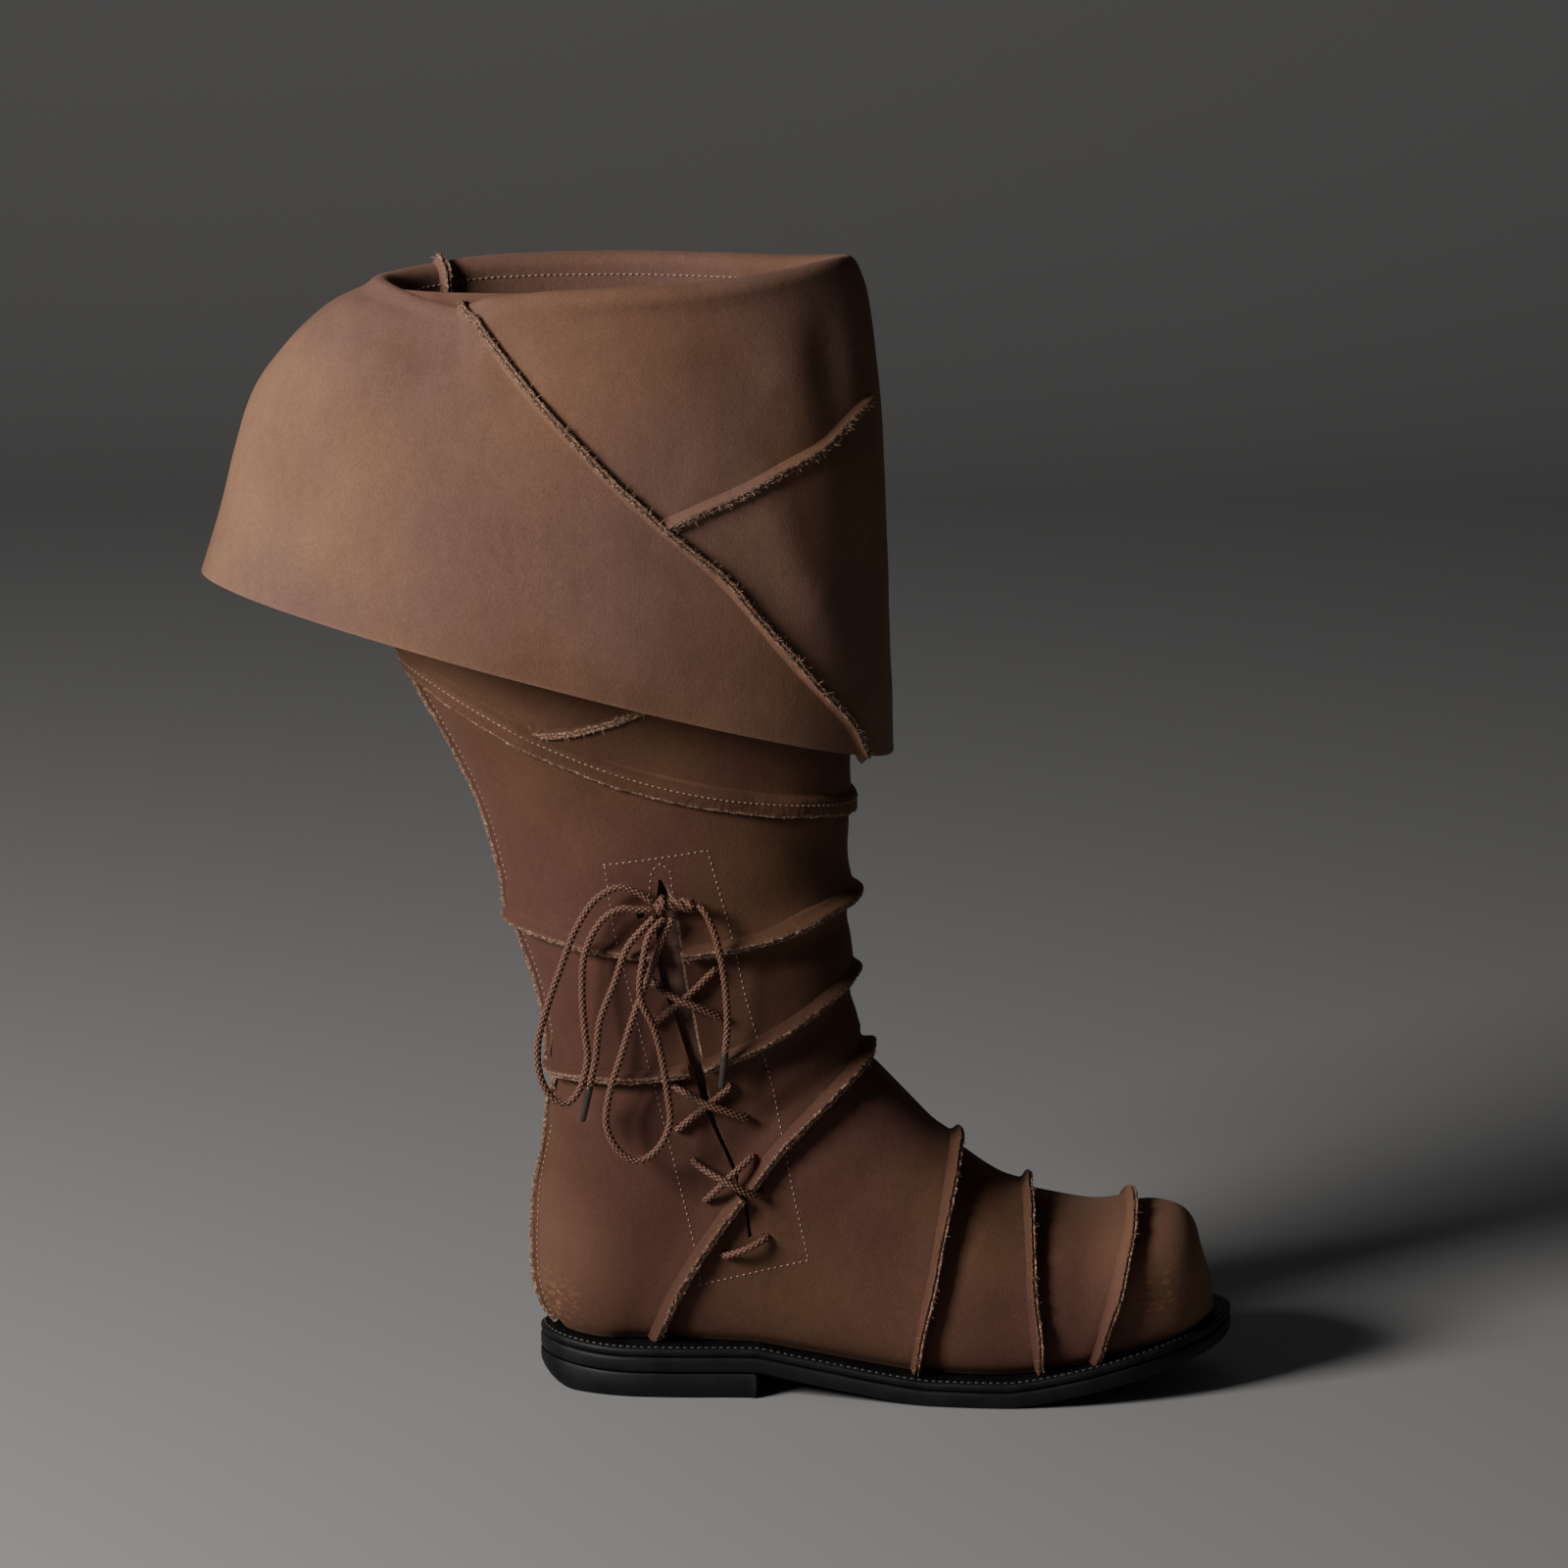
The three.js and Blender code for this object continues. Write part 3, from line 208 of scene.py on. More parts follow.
class Tree:
    """Adds nodes to a node tree, with values and links given by socket name or number."""

    def __init__(self, tree):
        self.tree = tree

    def fill(self, node, **sockets):
        for key, value in sockets.items():
            found = int(key[1:]) if key[0] == "i" and key[1:].isdigit() else key.replace("_", " ")
            if isinstance(value, bpy.types.NodeSocket):
                self.tree.links.new(value, node.inputs[found])
            else:
                node.inputs[found].default_value = value
        return node

    def add(self, kind, settings=None, **sockets):
        node = self.tree.nodes.new(kind)
        for key, value in (settings or {}).items():
            setattr(node, key, value)
        return self.fill(node, **sockets)

    def group(self, group, **sockets):
        return self.add("ShaderNodeGroup", {"node_tree": group}, **sockets)

    def place(self):
        return self.add("ShaderNodeTexCoord").outputs["Object"]

    def mapped(self, place, **sockets):
        return self.add("ShaderNodeMapping", None, Vector=place, **sockets).outputs[0]

    def noise(self, place, scale, detail, roughness=0.5):
        sockets = {"Scale": scale, "Detail": detail, "Roughness": roughness}
        return self.add("ShaderNodeTexNoise", None, Vector=place, **sockets).outputs["Fac"]

    def bump(self, height, strength, distance):
        sockets = {"Strength": strength, "Distance": distance}
        return self.add("ShaderNodeBump", None, Height=height, **sockets).outputs[0]

    def math(self, operation, a, b=None, clamp=False):
        sockets = {"i0": a} if b is None else {"i0": a, "i1": b}
        settings = {"operation": operation, "use_clamp": clamp}
        return self.add("ShaderNodeMath", settings, **sockets).outputs[0]

    def mix(self, factor, a, b, blend="MIX"):
        node = self.add("ShaderNodeMix", {"data_type": "RGBA", "blend_type": blend})
        return self.fill(node, i0=factor, i6=a, i7=b).outputs[2]

    def ramp(self, factor, stops):
        node = self.add("ShaderNodeValToRGB", None, Fac=factor)
        ends = node.color_ramp.elements
        while len(ends) < len(stops):
            ends.new(0.5)
        for end, (place, value) in zip(ends, stops):
            end.position = place
            end.color = value if isinstance(value, tuple) else (value, value, value, 1)
        return node.outputs[0]


# Fine dust and lint that settles on the boot, as a mask and a paler colour.
dust_group, t, given, out = node_group(
    "dust",
    [
        ("Color", "NodeSocketColor", (0.5, 0.5, 0.5, 1)),
        ("Dust Color", "NodeSocketColor", (0.35, 0.31, 0.27, 1)),
        ("Amount", "NodeSocketFloat", 0.2),
        ("Scale", "NodeSocketFloat", 60.0),
    ],
    [("Color", "NodeSocketColor"), ("Mask", "NodeSocketFloat")],
)
specks = t.noise(t.place(), given["Scale"], 6.0, 0.7)
facing = t.add("ShaderNodeNewGeometry").outputs["Normal"]
upward = t.add("ShaderNodeSeparateXYZ", None, Vector=facing).outputs["Z"]
settled = t.add("ShaderNodeMath", {"operation": "MULTIPLY_ADD"}, i0=upward, i1=0.5, i2=0.5).outputs[0]
mask = t.math("MULTIPLY", t.ramp(specks, [(0.52, 0.0), (0.75, 1.0)]), settled)
mask = t.math("MULTIPLY", mask, given["Amount"], clamp=True)
t.fill(out, Color=t.mix(mask, given["Color"], given["Dust Color"]), Mask=mask)

# Edge wear: 1 on edges that stand proud, from the surface's own pointiness.
wear_group, t, given, out = node_group(
    "edge wear",
    [
        ("Low", "NodeSocketFloat", 0.52),
        ("High", "NodeSocketFloat", 0.6),
        ("Breakup", "NodeSocketFloat", 40.0),
    ],
    [("Mask", "NodeSocketFloat")],
)
point = t.add("ShaderNodeNewGeometry").outputs["Pointiness"]
rise = t.add("ShaderNodeMapRange", None, Value=point, From_Min=given["Low"], From_Max=given["High"])
patchy = t.ramp(t.noise(t.place(), given["Breakup"], 3.0), [(0.35, 0.2), (0.6, 1.0)])
t.fill(out, Mask=t.math("MULTIPLY", rise.outputs[0], patchy))


def new_material(name):
    material = bpy.data.materials.new(name)
    material.use_nodes = True
    material.node_tree.nodes.clear()
    tree = Tree(material.node_tree)
    shader = tree.add("ShaderNodeBsdfPrincipled")
    tree.add("ShaderNodeOutputMaterial", None, Surface=shader.outputs[0])
    return material, tree, shader


sole_rubber, t, shader = new_material("sole rubber")
place = t.place()
clouds = t.noise(place, 35.0, 5.0, 0.6)
black, grey = (0.0025, 0.0028, 0.0034, 1), (0.0055, 0.006, 0.007, 1)
base = t.mix(t.ramp(clouds, [(0.35, 0.0), (0.7, 1.0)]), black, grey)
worn = t.group(wear_group, Low=0.51, High=0.58, Breakup=90.0).outputs[0]
base = t.mix(t.math("MULTIPLY", worn, 0.4), base, (0.04, 0.038, 0.036, 1))
dusty = t.group(dust_group, Color=base, Dust_Color=(0.06, 0.052, 0.045, 1), Amount=0.18, Scale=130.0)
t.fill(
    shader,
    Base_Color=dusty.outputs["Color"],
    Roughness=t.ramp(clouds, [(0.3, 0.46), (0.7, 0.62)]),
    Specular_IOR_Level=0.25,
    Normal=t.bump(t.noise(place, 420.0, 4.0, 0.7), 0.12, 0.0004),
)


def layer(name, outline, rows, low, high):
    """A layer of the sole. rows: how far each ring round its edge stands in, and at what share of
    its height. The rings then close over the middle, top and bottom."""
    middle = outline.copy()
    sides = [np.interp(outline[:, 0], *side_of(outline, side)) for side in (1, -1)]
    middle[:, 1] = (sides[0] + sides[1]) / 2
    along = unit(np.roll(outline, -1, axis=0) - np.roll(outline, 1, axis=0))
    inward = np.stack([-along[:, 1], along[:, 0]], axis=1)
    rings = [(outline + inward * inset, share) for inset, share in rows]
    bottom, top = rings[0][0], rings[-1][0]
    for k in (0.75, 0.5, 0.25, 0.0):
        rings.insert(0, (middle + (bottom - middle) * [[1 if k else 1, k]], 0.0))
        rings.append((middle + (top - middle) * [[1 if k else 1, k]], 1.0))
    skins = []
    for edge, share in rings:
        z = low(edge[:, 0]) * (1 - share) + high(edge[:, 0]) * share
        skins.append(np.column_stack([edge, z]))
    vertices, faces = loft(skins)
    return mesh_piece(name, vertices, faces, [sole_rubber], smooth_angle=50)


def signed_area(line):
    """Positive where a closed line in x and y turns left."""
    after = np.roll(line, -1, axis=0)
    return 0.5 * float(np.sum(line[:, 0] * after[:, 1] - after[:, 0] * line[:, 1]))


def side_of(outline, side):
    """x and y of one side of an outline, in order of x."""
    half = outline[outline[:, 1] * side > -1e-6]
    half = half[np.argsort(half[:, 0])]
    return half[:, 0], half[:, 1]


sole_edge = sole_outline(SIDE_LEDGE, TOE_LEDGE)
round_under = [(1.4, 0.0), (0.6, 0.06), (0.0, 0.22)]
outsole = layer(
    "rubber_outsole",
    sole_edge,
    round_under + [(0.0, 0.8), (0.35, 0.94), (1.0, 1.0)],
    sole_lift,
    lambda x: sole_lift(x) + OUTSOLE_THICKNESS,
)
finished(outsole, "rubber", "outsole")
midsole = layer(
    "stitched_midsole",
    sole_edge,
    [(1.2, 0.0), (0.5, 0.1), (0.1, 0.3), (0.0, 0.5), (0.15, 0.75), (0.7, 0.93), (1.6, 1.0), (2.6, 1.0)],
    lambda x: sole_lift(x) + OUTSOLE_THICKNESS + GAP,
    lambda x: ledge_top(x) - GAP,
)
finished(midsole, "rubber", "midsole")

heel_edge = sole_edge[sole_edge[:, 0] <= BREAST]
split = int(np.argmax(np.diff(heel_edge[:, 1])))
heel_edge = np.roll(heel_edge, -(split + 1), axis=0)
ends = heel_edge[[-1, 0]]
breast_line = np.linspace(ends[0], ends[1], 14)[1:-1]
breast_line[:, 0] = BREAST - 1.5 * np.sin(np.linspace(0, math.pi, 12))
heel_edge = np.concatenate([heel_edge, breast_line])


def heel_underside(x):
    back = sole_edge[:, 0].min()
    return HEEL_BEVEL * np.clip(1 - (x - back) / (2 * HEEL_BEVEL), 0, 1) ** 2


heel = layer(
    "heel_lift",
    heel_edge,
    [(1.6, 0.0), (0.7, 0.05), (0.1, 0.2), (0.0, 0.4), (0.0, 0.9), (0.5, 1.0)],
    heel_underside,
    lambda x: sole_lift(x) - GAP,
)
finished(heel, "rubber", "heel")


def scatter_tree(name, spacing, lay_out):
    """A geometry tree that sets a shape on many places, each copy with a length of its own. lay_out
    gives the places, the shape, its turn, the range of its length and the seed of that."""
    tree = bpy.data.node_groups.new(name, "GeometryNodeTree")
    kinds = {"Base": "Geometry", "Seed": "Int", "Material": "Material"}
    for socket in ("Base", spacing, "Length", "Thickness", "Seed", "Material"):
        kind = "NodeSocket" + kinds.get(socket, "Float")
        tree.interface.new_socket(socket, in_out="INPUT", socket_type=kind)
    tree.interface.new_socket("Made", in_out="OUTPUT", socket_type="NodeSocketGeometry")
    t = Tree(tree)
    given = t.add("NodeGroupInput").outputs
    places, shape, turn, (least, most), seed = lay_out(t, given)
    vary = t.add("FunctionNodeRandomValue", {"data_type": "FLOAT"}, i2=least, i3=most, Seed=seed)
    long = t.math("MULTIPLY", given["Length"], vary.outputs[1])
    size = t.add("ShaderNodeCombineXYZ", None, X=given["Thickness"], Y=given["Thickness"], Z=long)
    copies = {"Points": places, "Instance": shape, "Rotation": turn, "Scale": size.outputs[0]}
    set_down = t.add("GeometryNodeInstanceOnPoints", None, **copies)
    real = t.add("GeometryNodeRealizeInstances", None, Geometry=set_down.outputs[0])
    made = t.add("GeometryNodeSetMaterial", None, Geometry=real.outputs[0], Material=given["Material"])
    t.add("NodeGroupOutput", None, Made=made.outputs[0])
    return tree


def stitches_on_edges(t, given):
    """Short rounded threads, one at every pitch along a line of edges."""
    line = t.add("GeometryNodeMeshToCurve", None, Mesh=given["Base"]).outputs[0]
    even = t.add("GeometryNodeResampleCurve", {"mode": "LENGTH"}, Curve=line, Length=given["Pitch"])
    bead = t.add("GeometryNodeMeshUVSphere", None, Segments=8, Rings=6, Radius=0.5).outputs["Mesh"]
    smooth = t.add("GeometryNodeSetShadeSmooth", None, Geometry=bead).outputs[0]
    run = t.add("GeometryNodeInputTangent").outputs[0]
    turned = t.add("FunctionNodeAlignRotationToVector", {"axis": "Z"}, Vector=run).outputs[0]
    return even.outputs[0], smooth, turned, (0.85, 1.12), given["Seed"]


def grown(name, vertices, edges, faces, tree, **values):
    """A plain mesh piece that a geometry tree makes from a base in millimetres."""
    base = bpy.data.meshes.new(name)
    base.from_pydata([tuple(v) for v in np.asarray(vertices) * 0.001], edges, faces)
    piece = placed(name, base)
    step = piece.modifiers.new("grown", "NODES")
    step.node_group = tree
    for socket in tree.interface.items_tree:
        if socket.in_out == "INPUT" and socket.name in values:
            step[socket.identifier] = values[socket.name]
    bpy.context.view_layer.update()
    mesh = bpy.data.meshes.new_from_object(piece.evaluated_get(bpy.context.evaluated_depsgraph_get()))
    piece.modifiers.clear()
    piece.data = mesh
    bpy.data.meshes.remove(base)
    return piece


stitch_rows = scatter_tree("stitch row", "Pitch", stitches_on_edges)


def sewn(name, lines, thread, slot, pitch, length, thickness, seed=1):
    """Stitches along lines of points, as one piece."""
    vertices = np.concatenate(lines)
    edges = []
    start = 0
    for line in lines:
        edges += [(start + k, start + k + 1) for k in range(len(line) - 1)]
        start += len(line)
    sizes = {"Pitch": pitch * 0.001, "Length": length * 0.001, "Thickness": thickness * 0.001}
    finished(grown(name, vertices, edges, [], stitch_rows, Seed=seed, Material=thread, **sizes), slot)


# The ledge is sewn down all round with a thick waxed thread, so its stitches show as small beads.
waxed_thread, t, shader = new_material("waxed black thread")
# Paler grey flecks in the thread's colour are painted highlights; the same noise varies its roughness.
wax_and_glint = t.noise(t.place(), 900.0, 3.0)
t.fill(
    shader,
    Base_Color=t.mix(wax_and_glint, (0.006, 0.006, 0.007, 1), (0.075, 0.07, 0.066, 1)),
    Roughness=t.ramp(wax_and_glint, [(0.3, 0.22), (0.7, 0.5)]),
)
thread_line = sole_outline(SIDE_LEDGE - 1.9, TOE_LEDGE - 3.2)
thread_line = np.column_stack([thread_line, ledge_top(thread_line[:, 0]) - GAP + 0.15])
thread_line = np.concatenate([thread_line, thread_line[:1]])
sewn("ledge_stitches", [thread_line], waxed_thread, "rubber", pitch=3.1, length=2.5, thickness=1.15)

# Upper
# Soft nubuck about 2.2 mm thick, shaped on the last from strips. Each section runs from a point at
# the back or underside to one at the front or top, as in the part's source, and seams lie on rows.
INSTEP_HEIGHT = 148.0
TOE_HEIGHT = 77.5
SHAFT_DEPTH = 194.0
SHAFT_WIDTH = 104.0
COLLAR_HEIGHT = 484.0
WALL = 2.2
SECTION_COLUMNS = (
    "fx", "fz", "bx", "bz", "lateral_low", "lateral_high", "medial_low", "medial_high", "low", "high",
    "sag_lateral", "sag_medial",
)
FOOT_ROWS = [
    (0.986, 0.78, 1.01, -0.02, 0.14, 0.13, 0.2, 0.19, 2.4, 2.3, 0, 0),
    (0.979, 0.875, 0.993, -0.07, 0.24, 0.22, 0.31, 0.28, 2.8, 2.4, 0, 0),
    (0.962, 0.95, 0.966, -0.1, 0.33, 0.3, 0.385, 0.35, 3.2, 2.5, 0, 0),
    (0.928, 0.993, 0.925, -0.12, 0.4, 0.365, 0.43, 0.4, 3.4, 2.5, 0, 0),
    (0.885, 1.0, 0.81, -0.13, 0.485, 0.43, 0.49, 0.44, 3.4, 2.5, 0, 0),
    (0.81, 1.01, 0.785, -0.13, 0.5, 0.43, 0.5, 0.43, 3.4, 2.4, 0, 0),
    (0.722, 1.1, 0.744, -0.13, 0.51, 0.425, 0.5, 0.42, 3.4, 2.4, 0, 0),
    (0.665, 1.21, 0.65, -0.13, 0.505, 0.42, 0.46, 0.41, 3.2, 2.4, 0, 0),
    (0.612, 1.37, 0.548, -0.13, 0.47, 0.42, 0.4, 0.41, 3.0, 2.3, 0, 0),
    (0.56, 1.56, 0.36, -0.13, 0.4, 0.42, 0.34, 0.41, 2.8, 2.3, 0, 0),
]
SHAFT_ROWS = [
    (0.532, 0.306, 0.046, 0.03, 0.345, 0.43, 0.33, 0.42, 2.7, 2.3, -0.11, -0.11),
    (0.522, 0.325, -0.09, 0.026, 0.33, 0.43, 0.32, 0.42, 2.5, 2.3, -0.12, -0.12),
    (0.515, 0.341, -0.189, 0.08, 0.345, 0.44, 0.335, 0.43, 2.3, 2.3, -0.06, -0.06),
    (0.508, 0.354, -0.197, 0.165, 0.37, 0.44, 0.36, 0.43, 2.2, 2.25, 0, 0),
    (0.503, 0.367, -0.168, 0.235, 0.4, 0.445, 0.39, 0.435, 2.2, 2.2, 0.07, 0.04),
    (0.499, 0.38, -0.157, 0.292, 0.42, 0.45, 0.41, 0.44, 2.2, 2.2, 0.12, 0.08),
    (0.504, 0.412, -0.185, 0.362, 0.45, 0.465, 0.44, 0.455, 2.2, 2.2, 0.12, 0.07),
    (0.498, 0.451, -0.245, 0.434, 0.475, 0.485, 0.465, 0.475, 2.2, 2.2, 0.13, 0.06),
    (0.496, 0.49, -0.32, 0.54, 0.5, 0.505, 0.49, 0.495, 2.1, 2.2, 0.12, 0.08),
    (0.5, 0.537, -0.482, 0.667, 0.51, 0.52, 0.51, 0.52, 2.0, 2.2, 0.12, 0.1),
    (0.497, 0.64, -0.507, 0.742, 0.51, 0.52, 0.51, 0.52, 2.0, 2.1, 0.07, 0.07),
    (0.488, 0.82, -0.516, 0.865, 0.47, 0.47, 0.47, 0.47, 2.0, 2.0, 0.02, 0.02),
    (0.48, 1.0, -0.52, 0.99, 0.43, 0.43, 0.43, 0.43, 2.1, 1.9, 0, 0),
]
# Each seam's row, how its raw edges lie, how far the panel behind it flares out over it, and how
# far the panel before it sinks.
SEAMS = [
    {"name": "toe_three", "row": 4, "lie": "upright", "flare": 1.2, "sink": 0.8},
    {"name": "toe_two", "row": 6, "lie": "upright", "flare": 1.4, "sink": 0.9},
    {"name": "toe_one", "row": 8, "lie": "upright", "flare": 1.6, "sink": 1.1},
    {"name": "heel_diagonal", "row": 10, "lie": "leaning", "flare": 1.8, "sink": 1.0},
    {"name": "ankle_ring", "row": 15, "lie": "leaning", "flare": 1.8, "sink": 1.3},
    {"name": "lace_ring", "row": 17, "lie": "leaning", "flare": 2.0, "sink": 1.5},
    {"name": "calf_ring", "row": 19, "lie": "flat", "flare": 1.0, "sink": 1.0},
]


def boot_sections():
    """Every row in millimetres."""
    rows = []
    for r in FOOT_ROWS:
        row = dict(zip(SECTION_COLUMNS, r))
        row["fx"] = LAST_BACK + row["fx"] * LAST_LENGTH
        if row["fz"] <= 1:
            row["fz"] *= TOE_HEIGHT
        else:
            share = (row["fz"] - 1) / (INSTEP_HEIGHT / TOE_HEIGHT - 1)
            row["fz"] = TOE_HEIGHT + (INSTEP_HEIGHT - TOE_HEIGHT) * share
        row["bx"] = LAST_BACK + row["bx"] * LAST_LENGTH
        row["bz"] = ledge_top(row["bx"]) + GAP + row["bz"] * TOE_HEIGHT
        for key in ("lateral_low", "lateral_high", "medial_low", "medial_high"):
            row[key] *= BALL_WIDTH
        rows.append(row)
    for i, r in enumerate(SHAFT_ROWS):
        row = dict(zip(SECTION_COLUMNS, r))
        width = BALL_WIDTH + (SHAFT_WIDTH - BALL_WIDTH) * min(max((i - 4) / 4, 0), 1)
        for key in ("fx", "bx"):
            row[key] *= SHAFT_DEPTH
        for key in ("fz", "bz"):
            row[key] *= COLLAR_HEIGHT
        for key in ("lateral_low", "lateral_high", "medial_low", "medial_high"):
            row[key] *= width
        for key in ("sag_lateral", "sag_medial"):
            row[key] *= BALL_WIDTH
        rows.append(row)
    return np.array([[row[key] for key in SECTION_COLUMNS] for row in rows])


def leather_grid(sections, places, angles, bend):
    """Points of the outer face: one ring of angles for each place along the sections. Angle 0 is at
    the front or top, and it grows over the lateral side."""
    last = len(sections) - 1
    v = np.asarray(places, float)
    i = np.clip(np.floor(v).astype(int), 0, last - 1)
    t = (v - i)[:, None]
    p, q, r, s = (sections[np.clip(i + k, 0, last)] for k in (-1, 0, 1, 2))
    row = 0.5 * (2 * q + (r - p) * t + (2 * p - 5 * q + 4 * r - s) * t**2 + (-p + 3 * q - 3 * r + s) * t**3)
    fx, fz, bx, bz, ll, lh, ml, mh, low, high, sl, sm = (row[:, k : k + 1] for k in range(12))
    c, w = np.cos(angles)[None, :], np.sin(angles)[None, :]
    square = 2 / np.where(c > 0, high, low)
    share = (1 + np.sign(c) * np.abs(c) ** square) / 2
    across = np.abs(w) ** square
    lateral = w > 0
    half = np.where(lateral, ll + (lh - ll) * share, ml + (mh - ml) * share)
    length = np.hypot(fx - bx, fz - bz)
    cx, cz = (fx - bx) / length, (fz - bz) / length
    drop = np.where(lateral, sl, sm) * across**bend
    x = bx + (fx - bx) * share + cz * drop
    z = bz + (fz - bz) * share - cx * drop
    return np.stack([x, -np.sign(w) * half * across, z], axis=2)


def outward(grid):
    """Normals of a grid of rings that closes round its second way."""
    along = np.gradient(grid, axis=0)
    around = np.roll(grid, -1, axis=1) - np.roll(grid, 1, axis=1)
    n = np.cross(along, around)
    n /= np.maximum(np.linalg.norm(n, axis=2), 1e-9)[:, :, None]
    centre = grid.mean(axis=1, keepdims=True)
    if (n * (grid - centre)).sum() < 0:
        n = -n
    return n


boot = boot_sections()
TOP_ROW = len(boot) - 1
AROUND = 208
ring_angles = np.arange(AROUND) * 2 * math.pi / AROUND
near_seam = [0.0, 0.015, 0.03, 0.05, 0.08, 0.12, 0.17]
ring_places = sorted(
    {round(v, 4) for v in np.linspace(0, TOP_ROW, 138)}
    | {round(s["row"] + k * d, 4) for s in SEAMS for d in near_seam for k in (-1, 1)}
)

# Soft troughs and ridges of the leather: from and to in x and z, on the lateral
# (-1), medial (1) or both (0) sides, with a width and a depth (negative depths are ridges).
CREASES = [
    {"from": (92, 236), "to": (58, 262), "side": -1, "width": 9, "depth": 2.0},
    {"from": (96, 205), "to": (70, 196), "side": 0, "width": 7, "depth": 3.2},
    {"from": (70, 196), "to": (44, 192), "side": -1, "width": 8, "depth": 1.6},
    {"from": (98, 214), "to": (60, 208), "side": 0, "width": 5, "depth": -1.6},
    {"from": (-34, 236), "to": (-10, 262), "side": -1, "width": 12, "depth": 1.6},
    {"from": (96, 170), "to": (62, 150), "side": 0, "width": 6, "depth": 2.4},
    {"from": (88, 150), "to": (60, 132), "side": -1, "width": 7, "depth": -1.6},
    {"from": (-26, 133), "to": (22, 139), "side": -1, "width": 8, "depth": 2.6},
    {"from": (-28, 120), "to": (10, 124), "side": -1, "width": 9, "depth": -1.6},
    {"from": (104, 128), "to": (72, 104), "side": 0, "width": 9, "depth": 1.8},
    {"from": (118, 118), "to": (92, 86), "side": -1, "width": 10, "depth": 1.5},
    {"from": (150, 86), "to": (136, 50), "side": 0, "width": 8, "depth": 1.2},
    {"from": (178, 76), "to": (172, 44), "side": 0, "width": 9, "depth": 1.0},
    {"from": (46, 60), "to": (92, 44), "side": -1, "width": 14, "depth": 1.5},
    {"from": (20, 300), "to": (80, 284), "side": -1, "width": 12, "depth": 1.4},
    {"from": (-28, 288), "to": (96, 262), "side": -1, "width": 8, "depth": 2.4},
    {"from": (-36, 301), "to": (16, 310), "side": -1, "width": 9, "depth": -1.5},
]


def crease_field(grid, creases):
    """How far each point sinks, from its distance to the creases' lines."""
    depth = np.zeros(grid.shape[:2])
    for c in creases:
        a, b = np.array(c["from"], float), np.array(c["to"], float)
        p = grid[:, :, [0, 2]]
        t = np.clip(((p - a) @ (b - a)) / ((b - a) @ (b - a)), 0, 1)
        away = np.linalg.norm(p - (a + t[:, :, None] * (b - a)), axis=2)
        fade = np.sin(math.pi * np.clip(0.12 + 0.76 * t, 0, 1)) ** 0.7
        amount = c["depth"] * fade * np.exp(-((away / c["width"]) ** 2))
        if c["side"]:
            amount = amount * np.clip(0.5 + c["side"] * grid[:, :, 1] / 16, 0, 1)
        depth += amount
    return depth


def undulation(grid, size, seed):
    """Slow unevenness of soft leather, between -1 and 1."""
    flat = grid.reshape(-1, 3) / size + seed
    return np.array([noise.noise(Vector(p)) for p in flat]).reshape(grid.shape[:2])


measure_places = np.arange(0, TOP_ROW + 1e-6, 0.05)
measure_angles = np.arange(96) * 2 * math.pi / 96
measured = leather_grid(boot, measure_places, measure_angles, 3)
steps = np.linalg.norm(np.diff(measured, axis=0), axis=2)
run_length = np.concatenate([np.zeros((1, 96)), np.cumsum(steps, axis=0)])


def length_to(places, angles):
    """How far from the toe each place lies, measured on the leather, for each angle."""
    columns = [np.interp(places, measure_places, run_length[:, j]) for j in range(96)]
    columns = np.stack(columns, axis=1)
    turn = np.asarray(angles) / (2 * math.pi) * 96
    low = np.floor(turn).astype(int)
    part = (turn - low)[None, :]
    return columns[:, low % 96] * (1 - part) + columns[:, (low + 1) % 96] * part


# The slit on the lateral side, in shares of the shaft's depth and height.
SLIT = [
    {"x": 0.082, "z": 0.481, "open": 0.1},
    {"x": 0.09, "z": 0.46, "open": 0.62},
    {"x": 0.098, "z": 0.43, "open": 0.95},
    {"x": 0.108, "z": 0.39, "open": 1.0},
    {"x": 0.135, "z": 0.35, "open": 0.7},
    {"x": 0.165, "z": 0.3, "open": 0.4},
    {"x": 0.19, "z": 0.263, "open": 0.22},
    {"x": 0.238, "z": 0.216, "open": 0.14},
    {"x": 0.264, "z": 0.185, "open": 0.12},
    {"x": 0.277, "z": 0.149, "open": 0.12},
]
SLIT_WIDTH = 10.0
slit_places = [(r["x"] * SHAFT_DEPTH, r["z"] * COLLAR_HEIGHT, r["open"] * SLIT_WIDTH / 2) for r in SLIT]
slit_line = round_curve(slit_places, 4)


def slit_at(z, column, beyond=None):
    """x (column 0) or half width (column 2) of the slit at a height, and what holds beyond its ends."""
    return np.interp(z, slit_line[::-1, 1], slit_line[::-1, column], left=beyond, right=beyond)


def flap(grid):
    """How far the slit's front edge lifts off the ankle."""
    x, y, z = grid[:, :, 0], grid[:, :, 1], grid[:, :, 2]
    lift = slit_at(z, 2, 0) / (SLIT_WIDTH / 2)
    away = x - slit_at(z, 0)
    front = np.clip(0.5 + away / 4, 0, 1) * np.exp(-((np.maximum(away, 0) / 11) ** 2))
    return 1.7 * lift * front * (y < 0)


